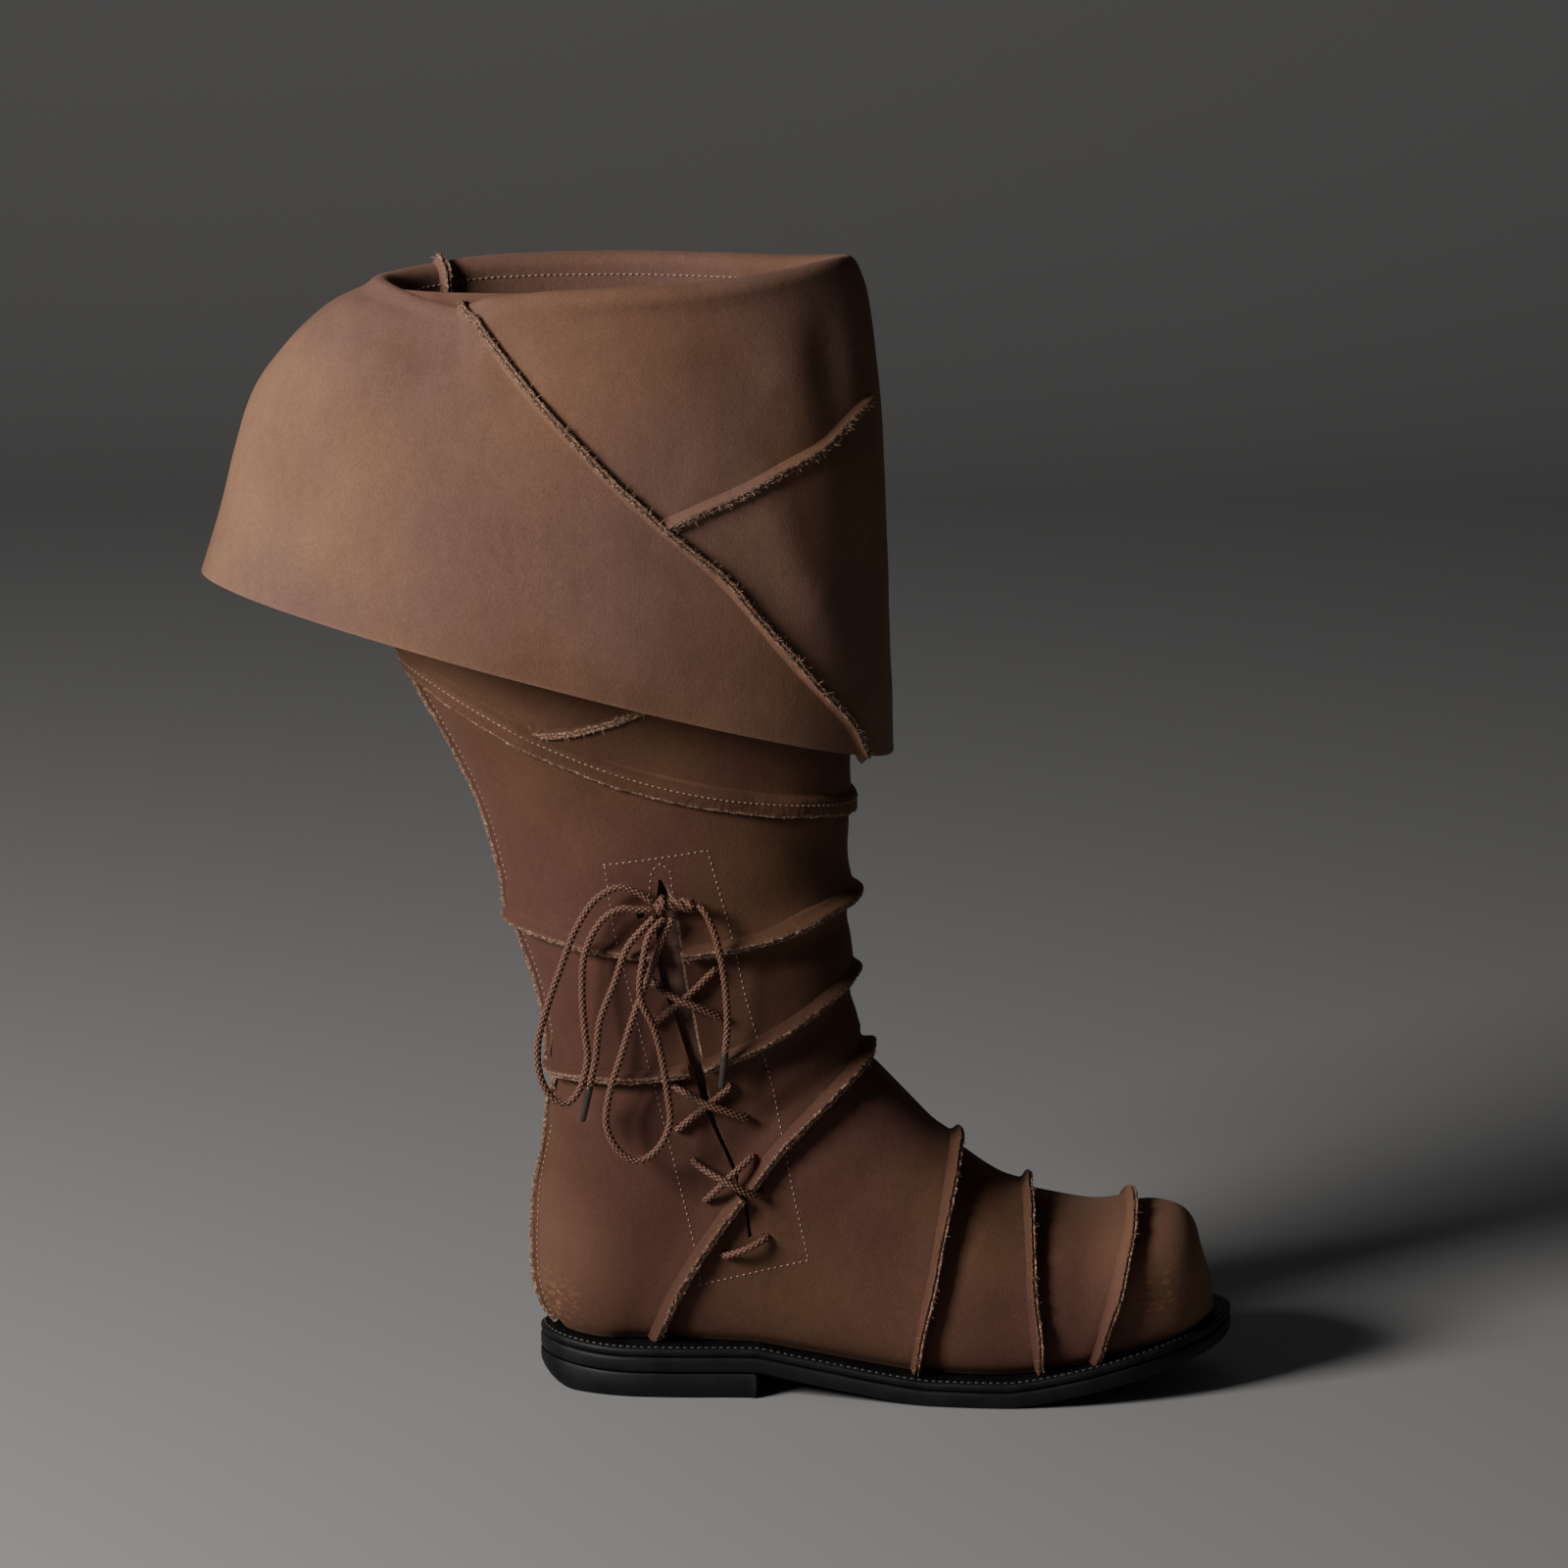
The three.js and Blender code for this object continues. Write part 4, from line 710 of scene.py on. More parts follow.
def relaxed(places, angles):
    """The upper's outer face with creases and slow waves, each panel flared over the next, and its
    lower edge drawn in where it is stitched down."""
    grid = leather_grid(boot, places, angles, 3)
    n = outward(grid)
    sink = crease_field(grid, CREASES)
    length = length_to(places, angles)
    for seam in SEAMS:
        away = length - length_to([seam["row"]], angles)
        behind = np.clip(1 + away / 1.2, 0, 1)
        behind = behind * behind * (3 - 2 * behind)
        flare = seam["flare"] * np.exp(-((np.maximum(away, 0) / 8) ** 2))
        drop = seam["sink"] * np.exp(-((np.minimum(away, 0) / 9) ** 2))
        sink += drop * (1 - behind) - flare * behind
    sink += 0.5 * undulation(grid, 42.0, 3.1) + 0.12 * undulation(grid, 12.0, 7.7)
    sink -= flap(grid)
    above = grid[:, :, 2] - ledge_top(grid[:, :, 0])
    sink = sink * np.clip(above / 14, 0.15, 1) + 1.3 * np.exp(-((np.maximum(above, 0) / 3.5) ** 2))
    return grid - n * sink[:, :, None]


outer = relaxed(ring_places, ring_angles)
outer_normal = outward(outer)


# The nubuck. Large soft clouds of tan and purplish brown, a fine streaky nap, and darker towards
# the bottom.
nubuck_group, t, given, out = node_group(
    "nubuck",
    [
        ("Light", "NodeSocketColor", (0.30, 0.175, 0.11, 1)),
        ("Dark", "NodeSocketColor", (0.16, 0.085, 0.06, 1)),
        ("Purple", "NodeSocketColor", (0.21, 0.12, 0.10, 1)),
        ("Clouds", "NodeSocketFloat", 9.0),
    ],
    [("Color", "NodeSocketColor"), ("Roughness", "NodeSocketFloat"), ("Height", "NodeSocketFloat")],
)
place = t.place()
big = t.noise(place, given["Clouds"], 2.0, 0.4)
other = t.noise(t.mapped(place, Location=(3.1, 1.7, 5.3)), 11.0, 2.0, 0.45)
brushed = t.mapped(place, Rotation=(0.2, 0.35, 0.0), Scale=(1.0, 1.0, 0.6))
small = t.noise(brushed, 190.0, 4.0, 0.6)
nap = t.noise(brushed, 1300.0, 3.0, 0.65)
cloudy = t.mix(t.ramp(big, [(0.34, 0.0), (0.66, 1.0)]), given["Dark"], given["Light"])
cloudy = t.mix(t.ramp(other, [(0.44, 0.0), (0.6, 0.85)]), cloudy, given["Purple"])
tall = t.math("MULTIPLY", t.add("ShaderNodeSeparateXYZ", None, Vector=place).outputs["Z"], 2.5)
for tone, stops in (
    (small, [(0.3, 0.93), (0.7, 1.05)]),
    (nap, [(0.3, 0.84), (0.7, 1.14)]),
    (tall, [(0.1, 0.86), (0.7, 1.0)]),
):
    cloudy = t.mix(1.0, cloudy, t.ramp(tone, stops), "MULTIPLY")
height = t.math("ADD", t.math("MULTIPLY", small, 0.5), t.math("MULTIPLY", nap, 0.6))
t.fill(out, Color=cloudy, Roughness=t.ramp(big, [(0.3, 0.88), (0.7, 0.76)]), Height=height)


def leather_material(name, colours, bump_depth, wear, dust, scuffs=(), pale_and_lit_patches=()):
    """scuffs: places where the grain is rubbed off, each with its middle and reach in metres.
    The last argument gives soft paler patches; the large one on the toe is painted light, standing
    in for light that falls on the toecap."""
    material, t, shader = new_material(name)
    skin = t.group(nubuck_group, **colours)
    rubbed = t.math("MULTIPLY", t.group(wear_group, Low=0.51, High=0.57, Breakup=55.0).outputs[0], wear)
    base = t.mix(rubbed, skin.outputs["Color"], (0.30, 0.17, 0.11, 1))
    place = t.place()
    torn = t.noise(t.mapped(place, Rotation=(0.0, 0.5, 0.0), Scale=(0.3, 1.0, 1.0)), 480.0, 4.0, 0.7)
    torn = t.ramp(torn, [(0.52, 0.0), (0.62, 1.0)])

    def distance(spot):
        away = t.add("ShaderNodeVectorMath", {"operation": "DISTANCE"}, i0=place, i1=spot["middle"])
        return t.math("DIVIDE", away.outputs["Value"], spot["reach"])

    # Soft paler patches: the toe's is painted light on the toecap.
    for spot in pale_and_lit_patches:
        near = t.ramp(distance(spot), [(0.3, spot["depth"]), (1.0, 0.0)])
        base = t.mix(near, base, (0.26, 0.135, 0.085, 1))
    for spot in scuffs:
        near = t.math("SUBTRACT", 1.0, distance(spot), clamp=True)
        bare = t.math("MULTIPLY", t.math("MULTIPLY", near, torn), spot["depth"], clamp=True)
        base = t.mix(bare, base, (0.33, 0.155, 0.075, 1))
    dusty = t.group(dust_group, Color=base, Dust_Color=(0.34, 0.24, 0.18, 1), Amount=dust, Scale=240.0)
    t.fill(
        shader,
        Base_Color=dusty.outputs["Color"],
        Roughness=skin.outputs["Roughness"],
        Normal=t.bump(skin.outputs["Height"], 0.5, bump_depth),
        Sheen_Weight=0.12,
        Sheen_Roughness=0.5,
        Sheen_Tint=(0.8, 0.5, 0.36, 1),
        Specular_IOR_Level=0.22,
    )
    return material


# The upper and the cuff are one nubuck given as two copies: the upper's is darker as painted shade, the
# cuff's is lighter as painted light.
SHADED_UPPER_COLOURS = {
    "Light": (0.152, 0.074, 0.040, 1), "Dark": (0.084, 0.038, 0.021, 1), "Purple": (0.110, 0.045, 0.034, 1),
}
LIT_CUFF_COLOURS = {
    "Light": (0.265, 0.141, 0.085, 1), "Dark": (0.160, 0.080, 0.051, 1), "Purple": (0.195, 0.105, 0.080, 1),
}
FLESH_COLOURS = {
    "Light": (0.15, 0.08, 0.052, 1), "Dark": (0.085, 0.045, 0.03, 1), "Purple": (0.11, 0.06, 0.047, 1),
}
SCUFFS = [
    {"middle": (0.230, -0.030, 0.047), "reach": 0.018, "depth": 1.6},
    {"middle": (0.243, -0.006, 0.050), "reach": 0.020, "depth": 1.2},
    {"middle": (0.236, 0.028, 0.046), "reach": 0.016, "depth": 1.3},
    {"middle": (-0.030, -0.012, 0.040), "reach": 0.020, "depth": 1.0},
]
# Soft paler patches: the toe's is painted light on the toecap, the heel's is only paler.
PALE_AND_LIT_PATCHES = [
    {"middle": (0.230, -0.020, 0.058), "reach": 0.050, "depth": 0.6},
    {"middle": (-0.030, -0.022, 0.060), "reach": 0.040, "depth": 0.3},
]
# The upper takes the darker copy, painted shade; the cuff takes the lighter copy, painted light.
nubuck = leather_material("brown nubuck painted shade", SHADED_UPPER_COLOURS, 0.0005, 0.25, 0.08, SCUFFS, PALE_AND_LIT_PATCHES)
lit_cuff_nubuck = leather_material("cuff nubuck painted light", LIT_CUFF_COLOURS, 0.0005, 0.25, 0.12)
flesh = leather_material("flesh side", FLESH_COLOURS, 0.0009, 0.15, 0.1)
raw_edge, t, shader = new_material("raw cut edge")
fibre = t.noise(t.place(), 900.0, 5.0, 0.75)
RAW_TONES = [(0.36, (0.07, 0.032, 0.021, 1)), (0.5, (0.235, 0.125, 0.079, 1)), (0.64, (0.62, 0.42, 0.30, 1))]
t.fill(shader, Base_Color=t.ramp(fibre, RAW_TONES), Normal=t.bump(fibre, 0.9, 0.001), Roughness=0.92)

# The punched lace holes, in pairs.
HOLE_PAIRS = [
    {"back": (0.04, 0.448), "front": (0.144, 0.459)},
    {"back": (0.046, 0.393), "front": (0.201, 0.399)},
    {"back": (0.07, 0.349), "front": (0.215, 0.355)},
    {"back": (0.113, 0.29), "front": (0.232, 0.29)},
    {"back": (0.12, 0.251), "front": (0.269, 0.26)},
    {"back": (0.156, 0.22), "front": (0.284, 0.224)},
    {"back": (0.182, 0.185), "front": (0.299, 0.19)},
    {"back": (0.223, 0.133), "front": (0.314, 0.15)},
]
LACE_HOLE = 3.8


def beside_slit(side):
    """The slit's two cut edges, in x and z."""
    run = unit(np.gradient(slit_line[:, :2], axis=0))
    return slit_line[:, :2] + side * slit_line[:, 2:] * np.stack([-run[:, 1], run[:, 0]], axis=1)


lateral_points = outer[:, ring_angles < math.pi].reshape(-1, 3)
lateral_normals = outer_normal[:, ring_angles < math.pi].reshape(-1, 3)


def blended(points, normals, away, softness):
    """The mean place and outward way of near points, by how close they are."""
    weight = 1 / (away + softness)
    weight = (weight / weight.sum())[:, None]
    return (points * weight).sum(axis=0), unit((normals * weight).sum(axis=0))


def on_side(x, z, lift=0.0):
    """The place and the outward way of the upper's lateral face at x and z."""
    away = (lateral_points[:, 0] - x) ** 2 + (lateral_points[:, 2] - z) ** 2
    near = np.argpartition(away, 12)[:12]
    near = near[lateral_points[near, 1] < lateral_points[near, 1].min() + 8]
    point, n = blended(lateral_points[near], lateral_normals[near], away[near], 0.5)
    y = point[1] - ((x - point[0]) * n[0] + (z - point[2]) * n[2]) / n[1]
    return np.array([x, y, z]) + n * lift, n


def close_ends(faces, count, last):
    """Closes a flat tube at its first and last ring, which run out on one side and back on the other."""
    for base, flip in ((0, 1), (last, -1)):
        for j in range(count // 2 - 1):
            faces.append((base + j, base + j + 1, base + count - 2 - j, base + count - 1 - j)[::flip])


def cutter(name, vertices, faces):
    return mesh_piece(name, vertices, faces, [raw_edge])


def cut(piece, *cutters):
    """Takes the cutters' shapes out of a piece."""
    for tool in cutters:
        step = piece.modifiers.new("cut", "BOOLEAN")
        step.operation = "DIFFERENCE"
        step.object = tool
        step.solver = "EXACT"
    bpy.context.view_layer.update()
    evaluated = piece.evaluated_get(bpy.context.evaluated_depsgraph_get())
    mesh = bpy.data.meshes.new_from_object(evaluated)
    piece.modifiers.clear()
    old = piece.data
    piece.data = mesh
    bpy.data.meshes.remove(old)
    for tool in cutters:
        bpy.data.objects.remove(tool)
    mesh.shade_smooth()
    mesh.set_sharp_from_angle(angle=math.radians(38))


# The slit is cut at a slant on its front side, so that the raw edge shows.
edges = {side: beside_slit(side) for side in (1, -1)}
front_side = 1 if edges[1][:, 0].mean() > edges[-1][:, 0].mean() else -1
slit_rings = []
for depth, slant in ((9.0, 1.7), (0.6, 1.7), (-WALL - 0.2, -0.1), (-9.0, -0.1)):
    ring = []
    for side, order in ((1, 1), (-1, -1)):
        for (x, z), half in list(zip(edges[side], slit_line[:, 2]))[::order]:
            shift = slant * min(half / 2.5, 1) if side == front_side else 0.0
            place, way = on_side(x, z)
            ring.append(place + way * depth + np.array([shift, 0, 0]))
    slit_rings.append(np.array(ring))
slit_vertices, slit_faces = loft(slit_rings)
close_ends(slit_faces, len(slit_rings[0]), 3 * len(slit_rings[0]))
slit_cut = cutter("slit cut", slit_vertices, slit_faces)
hole_vertices, hole_faces = [], []
for pair in HOLE_PAIRS:
    for x, z in pair.values():
        place, way = on_side(x * SHAFT_DEPTH, z * COLLAR_HEIGHT)
        turns = np.arange(14) * math.pi / 7
        ring = LACE_HOLE / 2 * np.stack([np.cos(turns), 0 * turns, np.sin(turns)], axis=1)
        base = len(hole_vertices)
        for depth in (-9, 9):
            hole_vertices += list(ring + place + way * depth)
        for j in range(14):
            k = (j + 1) % 14
            hole_faces.append((base + j, base + k, base + 14 + k, base + 14 + j))
        hole_faces += [tuple(range(base, base + 14)), tuple(range(base + 27, base + 13, -1))]
hole_cut = cutter("hole cut", hole_vertices, hole_faces)
under = []
for x in np.linspace(-95, 320, 120):
    top = ledge_top(x) + GAP
    under.append(np.array([(x, -90, -60), (x, 90, -60), (x, 90, top), (x, -90, top)]))
under_vertices, under_faces = loft(under)
under_faces += [(0, 1, 2, 3), tuple(len(under_vertices) - 1 - k for k in range(4))]
under_cut = cutter("under cut", under_vertices, under_faces)

# Outer face, collar rim, inner face and the toe's closing point make one hollow wall.
inner = outer - outward(leather_grid(boot, ring_places, ring_angles, 3)) * WALL
shell_rings = list(outer) + list(inner[::-1])
vertices, faces = loft(shell_rings)
toe_tip = np.array([outer[0].mean(axis=0) + [1.5, 0, 0], inner[0].mean(axis=0) + [1.5 - WALL, 0, 0]])
first = len(vertices)
vertices = np.concatenate([vertices, toe_tip])
last_ring = (len(shell_rings) - 1) * AROUND
faces += [(first, (j + 1) % AROUND, j) for j in range(AROUND)]
faces += [(first + 1, last_ring + j, last_ring + (j + 1) % AROUND) for j in range(AROUND)]
inside = len(outer) * AROUND
indices = [1 if min(f) >= inside - AROUND and max(f[:3]) >= inside else 0 for f in faces]
upper = mesh_piece("nubuck_upper", vertices, faces, [nubuck, flesh, raw_edge], indices)
for polygon in upper.data.polygons:
    if max(polygon.vertices) >= inside and polygon.material_index == 0:
        polygon.material_index = 1
cut(upper, slit_cut, hole_cut, under_cut)
finished(upper, "leather", "upper")

# Raised seams
# Two panels meet with their edges turned out and sewn through, so a double raw edge stands proud
# along every seam. It leans down or forward, is uneven and fibrous, and paler than the grain side.
FLANGE_COLUMNS = ("across", "up", "raw")
FLANGES = {
    "leaning": [
        (-5.2, -2.2, 0), (-4.0, -1.0, 0), (-2.8, 0.0, 0), (-1.7, 1.05, 0), (-0.8, 2.2, 0),
        (-0.2, 3.2, 0), (0.35, 3.75, 1), (1.15, 3.75, 1), (1.6, 3.3, 1), (1.6, 2.6, 1),
        (2.0, 3.1, 1), (2.8, 2.8, 1), (3.3, 2.2, 1), (3.2, 1.5, 0), (2.3, 0.6, 0),
        (1.3, -0.8, 0), (0.9, -3.0, 0),
    ],
    "upright": [
        (-6.8, -1.9, 0), (-4.8, -0.9, 0), (-3.2, -0.15, 0), (-2.2, 0.75, 0), (-1.7, 1.9, 0),
        (-1.45, 3.1, 0), (-1.15, 3.7, 0), (-0.6, 3.9, 0), (-0.1, 3.6, 1), (0.1, 2.8, 1),
        (0.35, 3.6, 1), (0.9, 3.8, 1), (1.35, 3.3, 1), (1.45, 2.6, 0), (1.4, 1.4, 0),
        (1.3, 0.1, 0), (1.0, -1.3, 0), (0.8, -3.2, 0),
    ],
    "standing": [
        (-4.4, -0.9, 0), (-2.7, 0.1, 0), (-1.75, 1.1, 0), (-1.4, 2.6, 1), (-1.45, 3.9, 1),
        (-1.1, 4.4, 1), (-0.4, 4.3, 1), (0.0, 3.3, 1), (0.4, 4.2, 1), (1.1, 4.3, 1),
        (1.45, 3.8, 0), (1.4, 2.6, 0), (1.75, 1.1, 0), (2.7, 0.1, 0), (4.4, -0.9, 0),
    ],
    "flat": [
        (-3.4, -0.8, 0), (-1.7, 0.3, 0), (-0.7, 1.6, 0), (0.6, 2.4, 0), (2.4, 2.5, 0),
        (4.6, 2.45, 0), (6.2, 2.5, 1), (7.0, 2.3, 1), (7.1, 1.7, 1), (6.7, 1.4, 1),
        (7.0, 0.9, 1), (6.4, 0.2, 0), (4.0, 0.1, 0), (1.5, -0.9, 0), (0.7, -2.8, 0),
    ],
}
raw_vertices, raw_polygons = [], []


def seam_frame(points, normals, closed):
    """The way that a seam's edge leans, square to the seam on the leather."""
    along = np.roll(points, -1, axis=0) - np.roll(points, 1, axis=0)
    if not closed:
        along = np.gradient(points, axis=0)
    return unit(np.cross(normals, along))


def rough(points, size, seed):
    return np.array([noise.noise(Vector(p) / size + Vector((seed, 0, 0))) for p in points])


def raised_seam(name, points, normals, closed, lie, toward=1, height=1.0, seed=0.0, grain=None):
    """A double raw edge along a line of points on the leather."""
    points, normals = np.asarray(points), np.asarray(normals)
    leaning = seam_frame(points, normals, closed) * toward
    rows = [dict(zip(FLANGE_COLUMNS, row)) for row in FLANGES[lie]]
    wave = rough(points, 22.0, seed)
    rings = []
    for k, row in enumerate(rows):
        up = np.full(len(points), row["up"])
        across = np.full(len(points), row["across"])
        if row["up"] > 0.3:
            ragged = 0.6 * rough(points, 3.2, seed + k) + 0.7 * rough(points, 1.1, seed + 9 * k)
            bent = row["up"] / 4
            up = up * height * (1 + 0.11 * ragged * (1 + row["raw"]) + 0.18 * wave)
            across = across + 0.25 * ragged * (1 + row["raw"]) + 1.1 * wave * bent
        rings.append(points + normals * up[:, None] + leaning * across[:, None])
    rings = np.array(rings).transpose(1, 0, 2)
    vertices, faces = loft(list(rings), closed_along=closed)
    columns = len(rows)
    indices = [rows[f[0] % columns]["raw"] for f in faces]
    start = sum(len(v) for v in raw_vertices)
    raw_vertices.append(vertices)
    raw_polygons.extend(tuple(start + i for i in f) for f, raw in zip(faces, indices) if raw)
    if not closed:
        faces.append(tuple(range(columns - 1, -1, -1)))
        faces.append(tuple((len(rings) - 1) * columns + k for k in range(columns)))
        indices += [1, 1]
    return mesh_piece(name, vertices, faces, [grain or nubuck, raw_edge], indices, smooth_angle=70)


def clip_line(points, normals, keep):
    """The runs of a closed line where keep is true, and whether the line is whole."""
    if keep.all():
        return [(points, normals)], True
    start = int(np.argmin(keep))
    points, normals, keep = (np.roll(a, -start, axis=0) for a in (points, normals, keep))
    ends = np.flatnonzero(np.diff(np.concatenate([[0], keep, [0]])))
    return [(points[a:b], normals[a:b]) for a, b in zip(ends[::2], ends[1::2]) if b - a > 6], False


seam_pieces = []
flange_stitches = []
fine_angles = np.arange(720) * 2 * math.pi / 720
for seam in SEAMS:
    name, row = seam["name"], seam["row"]
    around = [row - 0.04, row, row + 0.04]
    normals = outward(leather_grid(boot, around, fine_angles, 3))[1]
    points = relaxed(around, fine_angles)[1]
    from_slit = np.abs(points[:, 0] - slit_at(points[:, 2], 0, 1e3)) - slit_at(points[:, 2], 2)
    keep = (points[:, 2] > ledge_top(points[:, 0]) + 0.6) & ((points[:, 1] >= 0) | (from_slit > 0.4))
    runs, whole = clip_line(points, normals, keep)
    for k, (run, run_normals) in enumerate(runs):
        part = raised_seam(f"seam_{name}_{k}", run, run_normals, whole, seam["lie"], seed=row * 3.7)
        seam_pieces.append(part)
        if seam["lie"] == "flat":
            leaning = seam_frame(run, run_normals, whole)
            flange_stitches.append(run + leaning * 1.7 + run_normals * 2.5)

# A short raised edge branches off above the calf ring and runs up under the cuff.
SHORT_SEAM = [
    {"x": -46, "z": 296.0}, {"x": -36, "z": 294.5}, {"x": -22, "z": 295.5}, {"x": -6, "z": 299.5},
    {"x": 16, "z": 308.0},
]
short_line = [on_side(x, z) for x, z in round_curve([(r["x"], r["z"]) for r in SHORT_SEAM], 12)]
short_points = np.array([p for p, _ in short_line])
short_normals = np.array([n for _, n in short_line])
seam_pieces.append(
    raised_seam("seam_calf_short", short_points, short_normals, False, "standing", -1, height=0.36, seed=90.0)
)

# The back seam runs straight up the heel and the calf, low and pressed, with a row of stitches
# beside it on the outer side.
BACK_SEAM_FROM, BACK_SEAM_TO = 11.6, 19.9
back_places = np.arange(BACK_SEAM_FROM, BACK_SEAM_TO, 0.04)
back_angles = np.pi + np.array([-0.13, -0.02, 0.0, 0.02])
back_grid = relaxed(back_places, np.concatenate([back_angles, [0.0, 1.5, 4.5]]))
back_run = back_grid[:, 2]
back_normals = np.cross(back_grid[:, 3] - back_grid[:, 1], np.gradient(back_run, axis=0))
back_normals = unit(back_normals * -np.sign(back_normals[:, :1]))
back_keep = back_run[:, 2] > ledge_top(back_run[:, 0]) + 0.5
for _ in range(8):
    back_normals[1:-1] = (back_normals[:-2] + back_normals[1:-1] + back_normals[2:]) / 3
seam_pieces.append(
    raised_seam(
        "seam_back", back_run[back_keep], back_normals[back_keep], False, "standing", height=0.8, seed=40.0
    )
)
for piece in seam_pieces:
    finished(piece, "leather")


def stitched_line(corners):
    """Places on the upper's lateral face along straight lines between corners in x and z."""
    places = []
    for (x0, z0), (x1, z1) in zip(corners[:-1], corners[1:]):
        count = max(int(math.hypot(x1 - x0, z1 - z0) / 1.2), 2)
        for k in range(count):
            share = k / count
            places.append(on_side(x0 + (x1 - x0) * share, z0 + (z1 - z0) * share, 0.12)[0])
    return np.array(places)


# A leather patch behind the slit is sewn on from outside with a fine pale thread.
pale_thread, t, shader = new_material("pale thread")
twist = t.noise(t.place(), 1400.0, 2.0)
t.fill(
    shader,
    Base_Color=t.mix(twist, (0.26, 0.16, 0.115, 1), (0.62, 0.45, 0.34, 1)),
    Roughness=t.ramp(twist, [(0.3, 0.6), (0.7, 0.85)]),
)
PATCH_LINE = [
    {"x": -7.4, "z": 238.7}, {"x": 36.2, "z": 245.2}, {"x": 45.7, "z": 210.6}, {"x": 52.2, "z": 179.7},
    {"x": 63.9, "z": 138.0}, {"x": 71.9, "z": 95.1}, {"x": 79.0, "z": 62.5}, {"x": 32.6, "z": 50.3},
    {"x": 30.2, "z": 68.3}, {"x": 20.2, "z": 111.5}, {"x": 8.0, "z": 160.0}, {"x": -4.0, "z": 212.0},
    {"x": -7.4, "z": 238.7},
]
SLIT_STITCHES = [
    {"x": 11.5, "z": 226.0}, {"x": 12.5, "z": 236.5}, {"x": 16.5, "z": 240.0}, {"x": 20.5, "z": 236.0},
    {"x": 21.5, "z": 226.0},
]
thread_runs = [stitched_line([(r["x"], r["z"]) for r in rows]) for rows in (PATCH_LINE, SLIT_STITCHES)]
thread_runs.append(back_grid[back_keep, 0] + back_normals[back_keep] * [0.1, 0, 0] + [0, -0.15, 0])
for name, lines, pitch, length, thickness, seed in (
    ("upper_stitches", thread_runs, 2.8, 1.25, 0.65, 3),
    ("calf_flange_stitches", flange_stitches, 2.7, 1.7, 0.6, 4),
):
    sewn(name, lines, pale_thread, "leather", pitch, length, thickness, seed)

# Insole
# A 3 mm leather foot-bed that lies on the midsole inside the upper, flesh side up.


def wall_outline(grid, above):
    """The closed line in x and y where a face of the upper lies at a height above the ledge."""
    found = []
    for a, b in ((grid[:-1], grid[1:]), (grid, np.roll(grid, -1, axis=1))):
        low = a[:, :, 2] - ledge_top(a[:, :, 0]) - above
        high = b[:, :, 2] - ledge_top(b[:, :, 0]) - above
        met = low * high < 0
        share = (low[met] / (low[met] - high[met]))[:, None]
        found.append(a[met] * (1 - share) + b[met] * share)
    found = np.concatenate(found)
    middle = LAST_BACK + LAST_LENGTH / 2
    turn = np.arctan2(3 * found[:, 1], found[:, 0] - middle)
    order = np.argsort(turn)
    even = np.linspace(math.pi, -math.pi, 240, endpoint=False)
    turn, found = turn[order], found[order]
    return np.stack([np.interp(even, turn, found[:, k], period=2 * math.pi) for k in (0, 1)], axis=1)


INSOLE_THICKNESS = 3.0
insole_edge = wall_outline(inner, GAP + 0.5)
insole_edge = (np.roll(insole_edge, 1, axis=0) + 2 * insole_edge + np.roll(insole_edge, -1, axis=0)) / 4
if signed_area(insole_edge) * signed_area(sole_edge) < 0:
    insole_edge = insole_edge[::-1]
insole = layer(
    "leather_insole",
    insole_edge,
    [(0.9, 0.0), (0.6, 0.2), (0.6, 0.8), (1.1, 1.0)],
    lambda x: ledge_top(x) + GAP,
    lambda x: ledge_top(x) + GAP + INSOLE_THICKNESS,
)
insole.data.materials.clear()
insole.data.materials.append(flesh)
finished(insole, "lining_leather", "insole")

# Tongue
# A thin piece of the same leather sewn behind the slit, so that no foot shows between its edges.
TONGUE_REACH = 24.0
TONGUE_THICKNESS = 1.5
tongue_rows = []
for (x, z), run in zip(slit_line[:, :2], unit(np.gradient(slit_line[:, :2], axis=0))):
    row = []
    for u in np.linspace(-1, 1, 41):
        px, pz = x - run[1] * u * TONGUE_REACH, z + run[0] * u * TONGUE_REACH
        fold = 1.2 * math.exp(-((u / 0.16) ** 2))
        row.append(on_side(px, pz, -(WALL + 0.5 + fold))[0])
    tongue_rows.append(np.array(row))
tongue_front = np.array(tongue_rows)
n = unit(np.cross(np.gradient(tongue_front, axis=0), np.gradient(tongue_front, axis=1)))
if n[:, :, 1].mean() > 0:
    n = -n
tongue_back = tongue_front - n * TONGUE_THICKNESS
rings = [np.concatenate([f, b[::-1]]) for f, b in zip(tongue_front, tongue_back)]
vertices, faces = loft(rings)
close_ends(faces, len(rings[0]), (len(rings) - 1) * len(rings[0]))
finished(mesh_piece("slit_tongue", vertices, faces, [flesh]), "lining_leather", "tongue")

